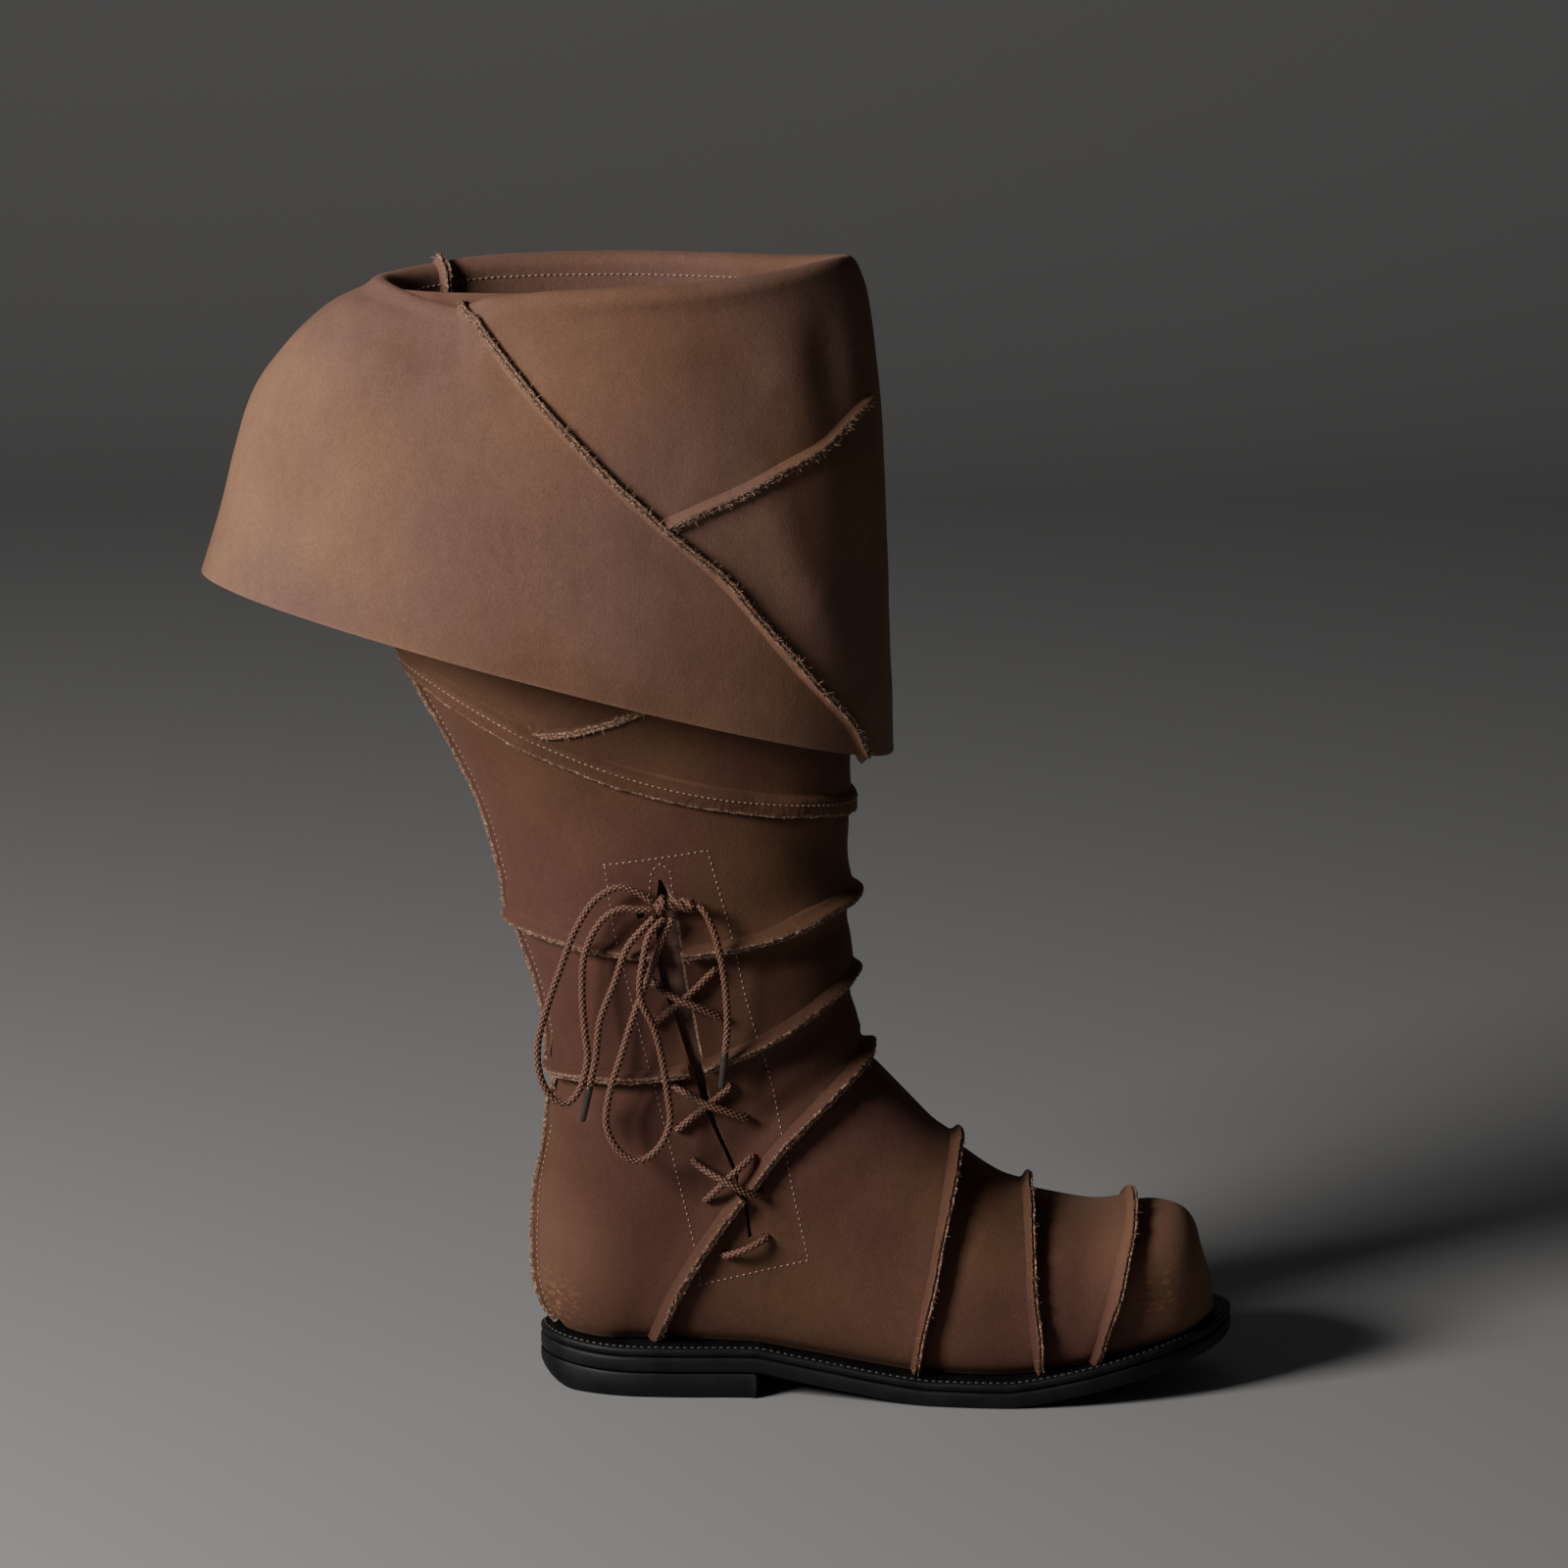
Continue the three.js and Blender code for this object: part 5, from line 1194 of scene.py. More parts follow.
# Cuff
# A wide band of the same nubuck, sewn inside the collar, folded over it and hanging free outside.
# It stands out furthest at the back, and its panels meet in raised diagonal seams on both sides.
CUFF_FOLD_RADIUS = 4.8
CUFF_TUCK = 30.0
CUFF_DROP_BACK = 122.0
CUFF_DROP_FRONT = 205.0
CUFF_HEM_DEPTH = 296.0
CUFF_HEM_WIDTH = 158.0
CUFF_HEM_FRONT = 116.0
CUFF_HEM_LIFT = 2.0
CUFF_HEM_DIP = 27.0
CUFF_ROWS = [
    {"drop": 0.055, "front": 0.3, "back": 0.24, "width": 0.335, "low": 2.1, "high": 1.9},
    {"drop": 0.19, "front": 0.5, "back": 0.48, "width": 0.385, "low": 2.1, "high": 2.0},
    {"drop": 0.36, "front": 0.68, "back": 0.68, "width": 0.43, "low": 2.1, "high": 2.1},
    {"drop": 0.56, "front": 0.82, "back": 0.8, "width": 0.462, "low": 2.1, "high": 2.2},
    {"drop": 0.78, "front": 0.91, "back": 0.89, "width": 0.485, "low": 2.1, "high": 2.2},
    {"drop": 1.0, "front": 1.0, "back": 1.0, "width": 0.5, "low": 2.0, "high": 2.2},
]
collar = dict(zip(SECTION_COLUMNS, boot[-1]))
fold_out = CUFF_FOLD_RADIUS * 2 - WALL - GAP - WALL / 2
hem_back = CUFF_HEM_FRONT - CUFF_HEM_DEPTH
out = fold_out + WALL / 2
cuff_sections = [
    [collar["fx"] + out, collar["fz"] + WALL / 2, collar["bx"] - out, collar["bz"] + WALL / 2]
    + [collar[k] + out for k in ("lateral_low", "lateral_high", "medial_low", "medial_high")]
    + [collar["low"], collar["high"], 0, 0]
]
for r in CUFF_ROWS:
    front, back = collar["fx"] + fold_out, collar["bx"] - fold_out
    half = r["width"] * CUFF_HEM_WIDTH
    cuff_sections.append(
        [front + (CUFF_HEM_FRONT - front) * r["front"], collar["fz"] - r["drop"] * CUFF_DROP_FRONT]
        + [back + (hem_back - back) * r["back"], collar["bz"] - r["drop"] * CUFF_DROP_BACK]
        + [half, half * 0.97, half, half * 0.97, r["low"], r["high"]]
        + [-CUFF_HEM_LIFT * r["drop"], CUFF_HEM_DIP * r["drop"]]
    )
cuff_sections = np.array(cuff_sections)
CUFF_AROUND = 300
cuff_angles = np.arange(CUFF_AROUND) * 2 * math.pi / CUFF_AROUND
collar_ring = leather_grid(boot, [TOP_ROW - 0.02, TOP_ROW], cuff_angles, 3)[1]
collar_out = outward(leather_grid(boot, [TOP_ROW - 0.1, TOP_ROW - 0.05, TOP_ROW], cuff_angles, 3))[2]
level = unit(collar_out * [1, 1, 0])
tuck_middle = -(WALL + GAP + WALL / 2)
fold_middle = tuck_middle + CUFF_FOLD_RADIUS


def fold_ring(offset, height):
    return collar_ring + level * offset + [0, 0, height]


tuck_place = TOP_ROW - CUFF_TUCK / (COLLAR_HEIGHT - boot[-2][1])
tuck_grid = leather_grid(boot, [tuck_place - 0.05, tuck_place, tuck_place + 0.05], cuff_angles, 3)
tuck_out = outward(tuck_grid)[1]
cuff_middle = [tuck_grid[1] - tuck_out * (WALL * 1.5 + GAP)]
TUCK_SHARES = (0.14, 0.28, 0.42, 0.56, 0.7, 0.83, 0.92, 1.0)
for k in TUCK_SHARES:
    cuff_middle.append(cuff_middle[0] * (1 - k) + fold_ring(tuck_middle, GAP) * k)
for a in math.pi * np.linspace(0, 1, 15)[1:-1]:
    swing = fold_middle - math.cos(a) * CUFF_FOLD_RADIUS
    cuff_middle.append(fold_ring(swing, GAP + math.sin(a) * CUFF_FOLD_RADIUS))
FOLD_TOP = len(TUCK_SHARES) + 7
hang_from = len(cuff_middle)
hang_places = np.concatenate([np.arange(0.22, 1.5, 0.06), np.arange(1.5, 6.0001, 0.075)])
hang = leather_grid(cuff_sections, hang_places, cuff_angles, 2)
hang_normal = outward(hang)
cuff_middle += list(hang - hang_normal * WALL / 2)
cuff_middle = np.array(cuff_middle)
joint = slice(hang_from - 4, hang_from + 8)
before, after = slice(joint.start - 1, joint.stop - 1), slice(joint.start + 1, joint.stop + 1)
for _ in range(5):
    cuff_middle[joint] = (cuff_middle[before] + 2 * cuff_middle[joint] + cuff_middle[after]) / 4

CUFF_CREASES = [
    {"from": (-66, 484), "to": (-40, 452), "side": -1, "width": 10, "depth": 3.0},
    {"from": (-66, 478), "to": (-86, 452), "side": -1, "width": 10, "depth": 2.2},
    {"from": (-100, 466), "to": (-128, 430), "side": -1, "width": 16, "depth": -2.0},
    {"from": (-120, 440), "to": (-60, 420), "side": -1, "width": 18, "depth": 2.2},
    {"from": (30, 470), "to": (64, 440), "side": -1, "width": 14, "depth": 2.2},
    {"from": (84, 478), "to": (92, 420), "side": -1, "width": 9, "depth": 2.5},
    {"from": (20, 380), "to": (84, 352), "side": -1, "width": 16, "depth": 2.6},
    {"from": (98, 400), "to": (106, 320), "side": -1, "width": 9, "depth": 2.2},
    {"from": (60, 400), "to": (92, 330), "side": -1, "width": 10, "depth": -1.8},
    {"from": (-140, 400), "to": (-90, 352), "side": -1, "width": 22, "depth": 2.0},
    {"from": (-20, 350), "to": (40, 316), "side": -1, "width": 18, "depth": -1.8},
    {"from": (-120, 440), "to": (-60, 380), "side": 1, "width": 18, "depth": 3.0},
    {"from": (-40, 470), "to": (0, 400), "side": 1, "width": 16, "depth": 2.6},
    {"from": (60, 470), "to": (80, 380), "side": 1, "width": 12, "depth": 2.4},
]
# How the rim dips and rises along both sides, from its plain height.
RIM_LINE = [
    {"x": -112, "lateral": -1.0, "medial": -1.5},
    {"x": -98, "lateral": -4.0, "medial": -2.5},
    {"x": -83, "lateral": -8.5, "medial": -1.5},
    {"x": -67, "lateral": -12.0, "medial": 0.0},
    {"x": -55, "lateral": -7.5, "medial": 0.5},
    {"x": -30, "lateral": -5.0, "medial": 0.5},
    {"x": 4, "lateral": -4.0, "medial": 0.0},
    {"x": 36, "lateral": -3.0, "medial": -1.0},
    {"x": 70, "lateral": 0.0, "medial": -1.5},
    {"x": 92, "lateral": 3.0, "medial": 0.0},
    {"x": 104, "lateral": 2.0, "medial": 1.5},
]


def hang_freely(middle):
    """The band's middle surface with its rim line, its creases and the hem's slow waves."""
    n = outward(middle)
    x, y, z = middle[:, :, 0], middle[:, :, 1], middle[:, :, 2]
    xs = [r["x"] for r in RIM_LINE]
    near = np.interp(x, xs, [r["lateral"] for r in RIM_LINE])
    far = np.interp(x, xs, [r["medial"] for r in RIM_LINE])
    share = np.clip(0.5 - y / 40, 0, 1)
    slope = (collar["fz"] - collar["bz"]) / (collar["fx"] - collar["bx"])
    rim_height = collar["bz"] + (x - collar["bx"]) * slope
    below = np.clip((rim_height - 8 - z) / 45, 0, 1)
    weight = (1 - below) ** 2 * (3 - 2 * (1 - below))
    moved = middle.copy()
    moved[:, :, 2] += (near * share + far * (1 - share)) * weight
    sink = crease_field(middle, CUFF_CREASES)
    sink += 1.1 * undulation(middle, 70.0, 5.5) + 0.25 * undulation(middle, 18.0, 9.2)
    free = np.clip((rim_height - 4 - z) / 25, 0, 1)
    return moved - n * (sink * free)[:, :, None]


cuff_middle = hang_freely(cuff_middle)
cuff_normal = outward(cuff_middle)
cuff_outer = cuff_middle + cuff_normal * WALL / 2
cuff_inner = cuff_middle - cuff_normal * WALL / 2
rings = list(cuff_outer) + list(cuff_inner[::-1])
vertices, faces = loft(rings, closed_along=True)
rows = len(cuff_outer)
indices = []
for f in faces:
    ring = f[0] // CUFF_AROUND
    indices.append(0 if ring < rows - 1 else 2 if ring in (rows - 1, 2 * rows - 1) else 1)
cuff = mesh_piece("folded_cuff", vertices, faces, [lit_cuff_nubuck, flesh, raw_edge], indices)
finished(cuff, "leather", "cuff")

# The cuff's raised seams: x as a share of the hem's depth from its back, z of the front drop.
CUFF_SEAM = [
    {"x": 0.388, "z": 0.03},
    {"x": 0.447, "z": 0.147},
    {"x": 0.537, "z": 0.291},
    {"x": 0.647, "z": 0.45},
    {"x": 0.75, "z": 0.584},
    {"x": 0.853, "z": 0.764},
    {"x": 0.935, "z": 0.911},
    {"x": 0.957, "z": 0.985},
]
CUFF_BRANCH = [
    {"x": 0.672, "z": 0.474},
    {"x": 0.729, "z": 0.44},
    {"x": 0.784, "z": 0.408},
    {"x": 0.84, "z": 0.369},
    {"x": 0.895, "z": 0.331},
    {"x": 0.934, "z": 0.285},
    {"x": 0.9625, "z": 0.248},
]


def on_cuff(x, z, side):
    """The place and the outward way of the cuff's outer face on one side."""
    points = cuff_outer[hang_from:].reshape(-1, 3)
    normals = cuff_normal[hang_from:].reshape(-1, 3)
    away = (points[:, 0] - x) ** 2 + (points[:, 2] - z) ** 2
    away = np.where(points[:, 1] * side > -1, away, 1e9)
    near = np.argpartition(away, 8)[:8]
    return blended(points[near], normals[near], away[near], 0.3)


def travelled(line):
    """How far along a line each of its points lies."""
    return np.concatenate([[0], np.cumsum(np.linalg.norm(np.diff(line, axis=0), axis=1))])


def along_line(wanted, known, values):
    """Values at wanted lengths of a line."""
    return np.stack([np.interp(wanted, known, values[:, k]) for k in range(3)], axis=1)


def cuff_seam(name, rows, side, lie, over_fold, seed):
    """A raised seam on the cuff. over_fold: whether it starts on the fold's top. Returns the column
    of the cuff where it does."""
    corners = [(hem_back + r["x"] * CUFF_HEM_DEPTH, collar["fz"] - r["z"] * CUFF_DROP_FRONT) for r in rows]
    found = [on_cuff(x, z, side) for x, z in round_curve(corners, 24)]
    points = [p for p, _ in found]
    normals = [n for _, n in found]
    column = np.argmin(np.linalg.norm(cuff_outer[hang_from + 4] - points[0], axis=1))
    if over_fold:
        x0, z0 = points[0][[0, 2]]
        slope = (points[12][0] - x0) / (points[12][2] - z0)
        beside = (column + np.arange(-16, 17)) % CUFF_AROUND
        for ring in range(hang_from + 3, FOLD_TOP - 1, -1):
            part = cuff_outer[ring, beside]
            column = beside[np.argmin(np.abs(part[:, 0] - x0 - slope * (part[:, 2] - z0)))]
            points.insert(0, cuff_outer[ring, column])
            normals.insert(0, cuff_normal[ring, column])
    length = travelled(points)
    even = np.linspace(0, length[-1], int(length[-1] / 0.9))
    points, normals = (along_line(even, length, np.array(values)) for values in (points, normals))
    for _ in range(8):
        for values in (points, normals):
            values[1:-1] = (values[:-2] + 2 * values[1:-1] + values[2:]) / 4
    piece = raised_seam(name, points, unit(normals), False, lie, -1, 0.66, seed, lit_cuff_nubuck)
    finished(piece, "leather")
    return column


cuff_seam("cuff_seam_lateral", CUFF_SEAM, -1, "standing", True, 51.0)
cuff_seam("cuff_seam_branch", CUFF_BRANCH, -1, "leaning", False, 61.0)
MEDIAL_SHIFT = 0.03
medial_rows = [{"x": r["x"] - MEDIAL_SHIFT * (1 - r["z"]), "z": r["z"]} for r in CUFF_SEAM]
medial_column = cuff_seam("cuff_seam_medial", medial_rows, 1, "standing", True, 71.0)

# Inside, the cuff is sewn to the collar by one row of stitches, and a seam of its own stands up.
inside_ring = TUCK_SHARES.index(0.83) + 1
collar_stitches = cuff_outer[inside_ring] + cuff_normal[inside_ring] * 0.12
collar_stitches = [np.concatenate([collar_stitches, collar_stitches[:1]])]
sewn("collar_stitches", collar_stitches, pale_thread, "leather", 2.7, 1.7, 0.75, seed=5)
inside_run = cuff_outer[1 : FOLD_TOP + 1, medial_column][::-1]
inside_normals = cuff_normal[1 : FOLD_TOP + 1, medial_column][::-1]
inside_line = round_curve(inside_run, 5)
shares = [np.linspace(0, 1, len(line)) for line in (inside_line, inside_run)]
inside_ways = along_line(*shares, inside_normals)
inside_seam = raised_seam(
    "cuff_seam_inside", inside_line, inside_ways, False, "standing", 1, 0.75, 81.0, lit_cuff_nubuck
)
finished(inside_seam, "leather")


def fibres_on_faces(t, given):
    """Short loose fibres that stand up from a rough surface."""
    sockets = {"Mesh": given["Base"], "Density": given["Density"], "Seed": given["Seed"]}
    spread = t.add("GeometryNodeDistributePointsOnFaces", None, **sockets)
    hair = t.add("GeometryNodeMeshCone", None, Vertices=3, Radius_Top=0.2, Radius_Bottom=0.5, Depth=1.0)
    most = (1.0, 1.0, 3.0)
    least = (-1.0, -1.0, -3.0)
    lean = t.add("FunctionNodeRandomValue", {"data_type": "FLOAT_VECTOR"}, i0=least, i1=most).outputs[0]
    sockets = {"Rotation": spread.outputs["Rotation"]}
    sockets["Rotate By"] = t.add("FunctionNodeEulerToRotation", None, Euler=lean).outputs[0]
    turned = t.add("FunctionNodeRotateRotation", {"rotation_space": "LOCAL"}, **sockets)
    return spread.outputs["Points"], hair.outputs["Mesh"], turned.outputs[0], (0.3, 1.9), 7


# Loose fibres of the cut leather catch the light along every raw edge.
pale_fibre, t, shader = new_material("pale leather fibre")
tone = t.noise(t.place(), 300.0, 2.0)
t.fill(shader, Base_Color=t.mix(tone, (0.28, 0.155, 0.10, 1), (0.70, 0.49, 0.35, 1)), Roughness=0.8)
fibres = grown(
    "seam_fibres",
    np.concatenate(raw_vertices),
    [],
    raw_polygons,
    scatter_tree("edge fibres", "Density", fibres_on_faces),
    Density=420000.0,
    Length=0.0015,
    Thickness=0.00021,
    Seed=11,
    Material=pale_fibre,
)
finished(fibres, "leather")

# Lace
# One round braided cord, 3 mm thick, through plain punched holes: three crossings, a straight bar
# at the bottom, and a bow whose loops and ends hang down, each end closed by a dark tip.
LACE_DIAMETER = 3.0
CORD_STEP, CORD_SIDES = 0.34, 30
BRAID_CELLS, BRAID_PITCH = 4, 2.6
knot_middle = np.mean(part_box("lace_knot"), axis=0) * 1000

lace_braid, t, shader = new_material("braided lace")
uv = t.add("ShaderNodeUVMap", {"uv_map": "lace"}).outputs[0]
parts = t.add("ShaderNodeSeparateXYZ", None, Vector=uv)
around_cord = t.math("MULTIPLY", parts.outputs["X"], BRAID_CELLS)
strand_sides = []
for operation in ("ADD", "SUBTRACT"):
    wound = t.math(operation, around_cord, parts.outputs["Y"])
    strand_sides.append(t.math("ABSOLUTE", t.math("SINE", t.math("MULTIPLY", wound, math.pi))))
braid_gap_shade = t.math("MULTIPLY", strand_sides[0], strand_sides[1])
place = t.place()
hairs = t.noise(place, 1800.0, 3.0)
flecks = t.noise(place, 620.0, 1.0)
# Almost black where the strands part: painted shade in the braid's gaps; the strands themselves are reddish
# brown.
base = t.mix(t.ramp(braid_gap_shade, [(0.04, 0.0), (0.5, 1.0)]), (0.006, 0.003, 0.002, 1), (0.25, 0.112, 0.070, 1))
base = t.mix(t.ramp(flecks, [(0.7, 0.0), (0.76, 0.4)]), base, (0.32, 0.2, 0.14, 1))
base = t.mix(1.0, base, t.ramp(hairs, [(0.3, 0.75), (0.7, 1.2)]), "MULTIPLY")
bump = t.bump(hairs, 0.6, 0.0002)
t.fill(shader, Base_Color=base, Roughness=0.6, Specular_IOR_Level=0.45, Normal=bump)


def braided_cord(name, points, diameter=LACE_DIAMETER):
    """A round braid: four plump strands round the cord, crossing both ways. Returns the piece, its
    length and its middle line."""
    line = round_curve(points, 24)
    length = travelled(line)
    even = np.linspace(0, length[-1], max(int(length[-1] / CORD_STEP), 4) + 1)
    line = along_line(even, length, line)
    ways = unit(np.gradient(line, axis=0))
    side = np.cross(ways[0], [0.0, 1.0, 0.0])
    if np.linalg.norm(side) < 0.1:
        side = np.cross(ways[0], [1.0, 0.0, 0.0])
    rings = []
    turns = travelled(line) / BRAID_PITCH
    share = np.arange(CORD_SIDES) / CORD_SIDES
    for p, a, turn in zip(line, ways, turns):
        side = unit(side - a * (side @ a))
        other = np.cross(a, side)
        one = np.abs(np.sin(math.pi * (BRAID_CELLS * share + turn)))
        two = np.abs(np.sin(math.pi * (BRAID_CELLS * share - turn)))
        radius = diameter / 2 * (0.66 + 0.44 * np.sqrt(one * two))
        angle = 2 * math.pi * share
        rings.append(p + np.outer(np.cos(angle) * radius, side) + np.outer(np.sin(angle) * radius, other))
    vertices, faces = loft(rings)
    first, last = len(vertices), len(vertices) + 1
    vertices = np.concatenate([vertices, [line[0], line[-1]]])
    end = (len(rings) - 1) * CORD_SIDES
    for j in range(CORD_SIDES):
        k = (j + 1) % CORD_SIDES
        faces += [(first, k, j), (last, end + j, end + k)]
    mesh = bpy.data.meshes.new(name)
    mesh.from_pydata([tuple(v) for v in vertices * 0.001], [], faces)
    mesh.materials.append(lace_braid)
    layer_uv = mesh.uv_layers.new(name="lace")
    for polygon in mesh.polygons:
        numbers = [mesh.loops[k].vertex_index for k in polygon.loop_indices]
        wraps = max(i % CORD_SIDES for i in numbers) == CORD_SIDES - 1
        for k, index in zip(polygon.loop_indices, numbers):
            column = index % CORD_SIDES
            if column == 0 and wraps:
                column = CORD_SIDES
            if index >= first:
                layer_uv.data[k].uv = (0.5, turns[0 if index == first else -1])
            else:
                layer_uv.data[k].uv = (column / CORD_SIDES, turns[index // CORD_SIDES])
    mesh.shade_smooth()
    return placed(name, mesh), length[-1], line


def over_leather(start, end, lift):
    """Places along a strand that arches over the slit from hole to hole, sinking into both."""
    places = []
    for share in np.linspace(0, 1, 7):
        x, z = (a + (b - a) * share for a, b in zip(start, end))
        rise = lift * math.sin(math.pi * share) ** 0.7
        places.append(on_side(x, z, LACE_DIAMETER / 2 + 0.2 + rise)[0])
    return [on_side(*start, -4.2)[0], *places, on_side(*end, -4.2)[0]]


def hole_at(pair, side):
    x, z = HOLE_PAIRS[pair][side]
    return x * SHAFT_DEPTH, z * COLLAR_HEIGHT


CROSSINGS = [
    {"name": "lace_cross_upper", "top": 1, "bottom": 2, "under": 0.6, "over": 3.4},
    {"name": "lace_cross_middle", "top": 3, "bottom": 4, "under": 0.6, "over": 3.4},
    {"name": "lace_cross_lower", "top": 5, "bottom": 6, "under": 4.9, "over": 7.6},
]
for c in CROSSINGS:
    below = over_leather(hole_at(c["top"], "front"), hole_at(c["bottom"], "back"), c["under"])
    above = over_leather(hole_at(c["top"], "back"), hole_at(c["bottom"], "front"), c["over"])
    under_strand, _, _ = braided_cord(c["name"] + "_under", below)
    over_strand, _, _ = braided_cord(c["name"] + "_over", above)
    finished(under_strand, "lace", c["name"])
    finished(over_strand, "lace")
bar_places = over_leather(hole_at(7, "back"), hole_at(7, "front"), 4.0)
bar, _, _ = braided_cord("lace_bottom_bar", bar_places)
finished(bar, "lace", "lace_bar")

# The bow's cords hang from the knot. Their points are the source's, from the knot's middle.
LOOP_A = [
    (-9.6, -1.0, 2.3), (-15.0, -1.5, 6.2), (-22.5, -1.5, 8.5), (-32.0, -1.0, 4.0), (-41.0, 0.0, -9.0),
    (-48.5, 2.0, -28.5), (-54.5, 3.0, -46.5), (-58.0, 4.0, -61.5), (-57.0, 4.0, -75.0), (-51.5, 4.0, -85.0),
    (-45.5, 4.0, -86.5), (-40.5, 4.0, -81.0), (-37.0, 4.0, -67.5), (-38.0, 3.5, -55.5), (-39.0, 2.5, -37.5),
    (-37.5, 1.0, -20.0), (-30.0, -1.0, -5.5), (-22.0, -1.5, -0.8), (-15.0, -1.5, -1.2), (-9.6, -1.0, -1.4),
]
LOOP_B = [
    (-0.4, -1.0, -4.9), (-4.0, -1.0, -12.0), (-8.0, -0.5, -22.0), (-10.5, 0.0, -30.0), (-17.0, 1.5, -47.5),
    (-22.5, 3.0, -65.5), (-27.5, 4.0, -82.0), (-29.0, 4.0, -97.0), (-23.0, 4.0, -108.5), (-15.0, 4.0, -112.0),
    (-7.0, 4.0, -106.5), (-2.0, 4.0, -95.5), (-3.0, 3.0, -82.0), (-5.0, 1.0, -68.0), (-8.5, -2.0, -52.5),
    (-13.0, -3.5, -42.5), (-14.5, -4.5, -34.5), (-13.0, -5.0, -22.5), (-10.5, -4.5, -12.0),
    (-7.0, -3.0, -7.5), (-4.2, -1.5, -5.2),
]
END_A = [
    (-8.2, -1.0, -4.6), (-13.0, -1.0, -9.5), (-19.5, -0.5, -17.5), (-25.5, 0.5, -34.0), (-31.5, 2.0, -50.5),
    (-33.5, 3.0, -67.0), (-36.0, 3.5, -79.0),
]
END_B = [
    (10.2, -1.0, 0.8), (13.0, -2.0, -2.0), (16.5, -2.0, -9.5), (19.5, -1.5, -20.5), (22.0, 1.0, -38.0),
    (22.5, 3.5, -55.0), (21.5, 4.5, -65.0),
]

# The knot: three strands twisted together beside the slit's top, with one turn of cord round them.
def twisted(phase):
    places = []
    for k in range(25):
        share = k / 24
        turn = phase + 2 * math.pi * 1.15 * share
        spread = 1.9 - 0.4 * math.sin(math.pi * share)
        bend = 0.9 * math.sin(math.pi * share)
        places.append((8.0 - 16.0 * share, spread * math.sin(turn), spread * math.cos(turn) + bend))
    return places


KNOT_STRANDS = [twisted(phase) for phase in (0.4, 2.5, 4.6)]
turn_round = np.linspace(-0.3, 2 * math.pi + 0.3, 22)
KNOT_STRANDS.append([(-4.6 - 1.6 * a / 6.9, -3.0 * math.cos(a), 3.1 * math.sin(a) + 0.4) for a in turn_round])
knot_pieces = []
for k, strand in enumerate(KNOT_STRANDS):
    piece, _, _ = braided_cord(f"lace_knot_strand_{k}", [knot_middle + p for p in strand], diameter=2.8)
    finished(piece, "lace", *(["lace_knot"] if k == 0 else []))
    knot_pieces.append(piece)

lace_tip, t, shader = new_material("lace tip")
smear = t.noise(t.place(), 500.0, 3.0)
t.fill(
    shader,
    Base_Color=t.mix(smear, (0.03, 0.02, 0.015, 1), (0.07, 0.05, 0.04, 1)),
    Roughness=t.ramp(smear, [(0.3, 0.2), (0.7, 0.36)]),
)


def tip_on(name, line):
    """A shrunk plastic sleeve on the cord's end."""
    way = unit(line[-1] - line[-4])
    start = line[-1] + way * GAP
    side = unit(np.cross(way, [0.0, 1.0, 0.0]))
    other = np.cross(way, side)
    turn = np.arange(20) * 2 * math.pi / 20
    ring = np.outer(np.cos(turn), side) + np.outer(np.sin(turn), other)
    rings = []
    for along, radius in ((0, 1.35), (0.3, 1.6), (1.2, 1.7), (8, 1.6), (14.6, 1.45), (15.6, 1.2), (16, 0.6)):
        rings.append(start + way * along + ring * radius)
    vertices, faces = loft(rings)
    faces += [tuple(range(19, -1, -1)), tuple(range(len(vertices) - 20, len(vertices)))]
    return mesh_piece(name, vertices, faces, [lace_tip], smooth_angle=60)


BOW = [
    {"node": "lace_loop_a", "points": LOOP_A, "tip": None, "knot": knot_pieces},
    {"node": "lace_loop_b", "points": LOOP_B, "tip": None, "knot": []},
    {"node": "lace_end_a", "points": END_A, "tip": "aglet_a", "knot": []},
    {"node": "lace_end_b", "points": END_B, "tip": "aglet_b", "knot": []},
]
for b in BOW:
    points = [knot_middle + p for p in b["points"]]
    piece, length, line = braided_cord("bow_" + b["node"][5:], points)
    finished(piece, "lace", b["node"])
    if b["tip"]:
        tip = tip_on("tip_" + b["tip"][-1], line)
        finished(tip, "lace_tip", b["tip"])

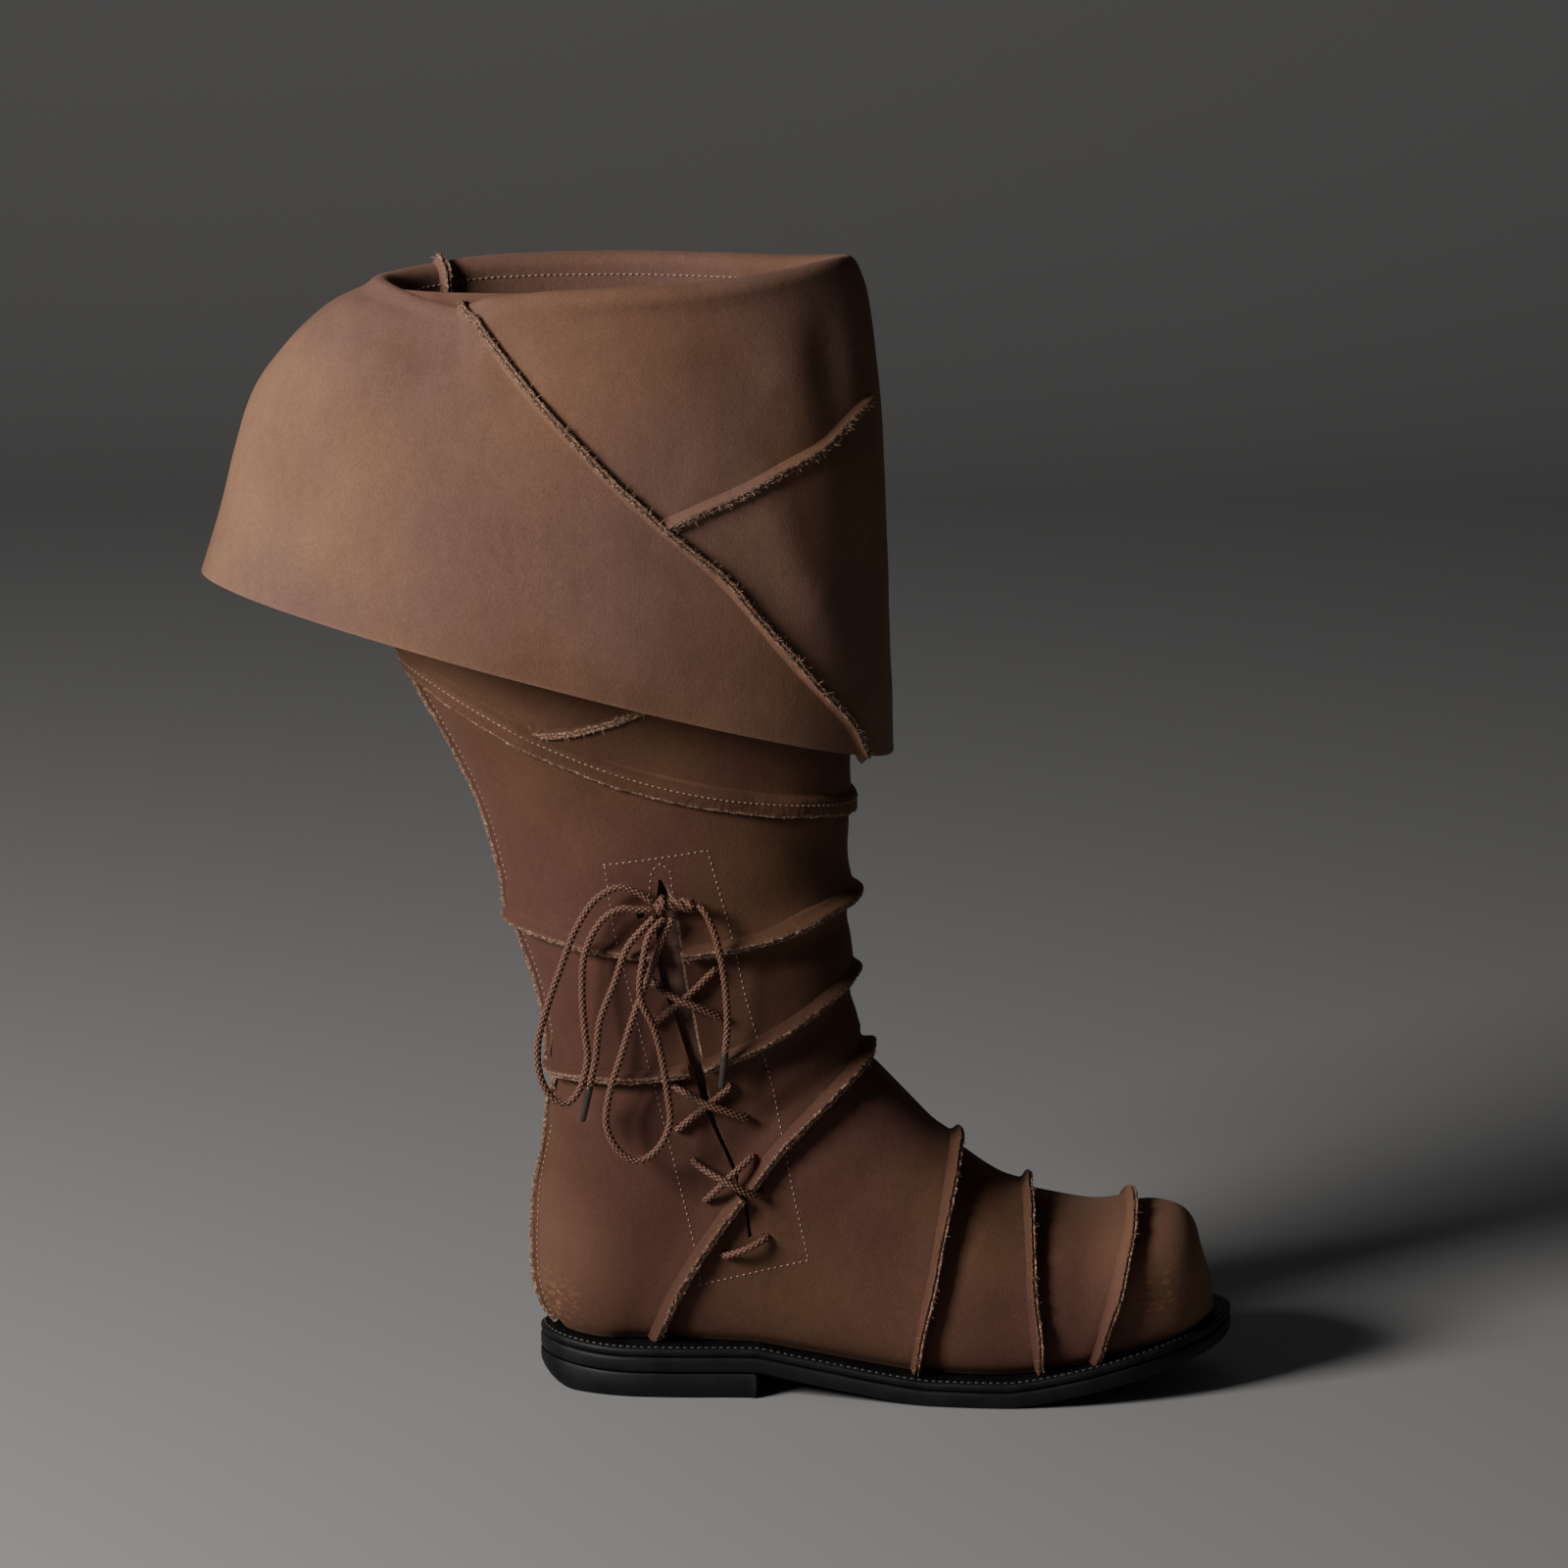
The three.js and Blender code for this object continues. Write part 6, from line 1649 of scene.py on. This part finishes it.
# Floor, light and camera
# A plain grey floor with soft light from the front left, as at a window, and the photo's angle.
SWEEP_DEPTH, SWEEP_RADIUS, SWEEP_HEIGHT = 2.4, 1.2, 5.0
sweep = [(-6.0, 0.0), (0.0, 0.0)]
for a in np.linspace(0, math.pi / 2, 17):
    sweep.append((SWEEP_DEPTH + SWEEP_RADIUS * math.sin(a), SWEEP_RADIUS * (1 - math.cos(a))))
sweep.append((SWEEP_DEPTH + SWEEP_RADIUS, SWEEP_HEIGHT))
floor_vertices = [(x, y, z) for y, z in sweep for x in (-7.0, 7.0)]
floor_faces = [(2 * k, 2 * k + 1, 2 * k + 3, 2 * k + 2) for k in range(len(sweep) - 1)]
floor_mesh = bpy.data.meshes.new("floor")
floor_mesh.from_pydata(floor_vertices, [], floor_faces)
floor_mesh.shade_smooth()
plain_grey, t, shader = new_material("plain grey floor")
t.fill(shader, Base_Color=(0.36, 0.36, 0.36, 1), Roughness=0.8)
floor_mesh.materials.append(plain_grey)
placed("floor", floor_mesh)


def soft_light(name, place, aim, size, power, colour):
    light = bpy.data.lights.new(name, "AREA")
    light.size = size
    light.energy = power
    light.color = colour
    holder = placed(name, light)
    holder.location = place
    holder.rotation_euler = (Vector(aim) - Vector(place)).to_track_quat("-Z", "Y").to_euler()


soft_light("window", (-1.56, -1.10, 1.16), (-0.04, 0, 0.28), size=0.7, power=54, colour=(1.0, 0.97, 0.94))
soft_light("fill", (1.8, -1.8, 0.9), (0, 0, 0.2), size=2.0, power=0.4, colour=(0.95, 0.97, 1.0))
soft_light("back", (-0.6, 1.8, 1.6), (0, 0, 0.3), size=1.5, power=0.5, colour=(1.0, 1.0, 1.0))
world = bpy.data.worlds.new("studio")
world.use_nodes = True
world.node_tree.nodes["Background"].inputs["Color"].default_value = (0.8, 0.82, 0.85, 1)
world.node_tree.nodes["Background"].inputs["Strength"].default_value = 0.03
bpy.context.scene.world = world

SENSOR_WIDTH = 36
PHOTO_PIXELS, FOCAL_PIXELS = 1600, 7058
LOOKS_DOWN = 11.5
camera_data = bpy.data.cameras.new("camera")
camera_data.sensor_width = SENSOR_WIDTH
camera_data.lens = SENSOR_WIDTH * FOCAL_PIXELS / PHOTO_PIXELS
camera = placed("camera", camera_data)
camera.location = (0.0685, -2.910, 0.8555)
camera.rotation_euler = (math.radians(90 - LOOKS_DOWN), 0, 0)
bpy.context.scene.camera = camera
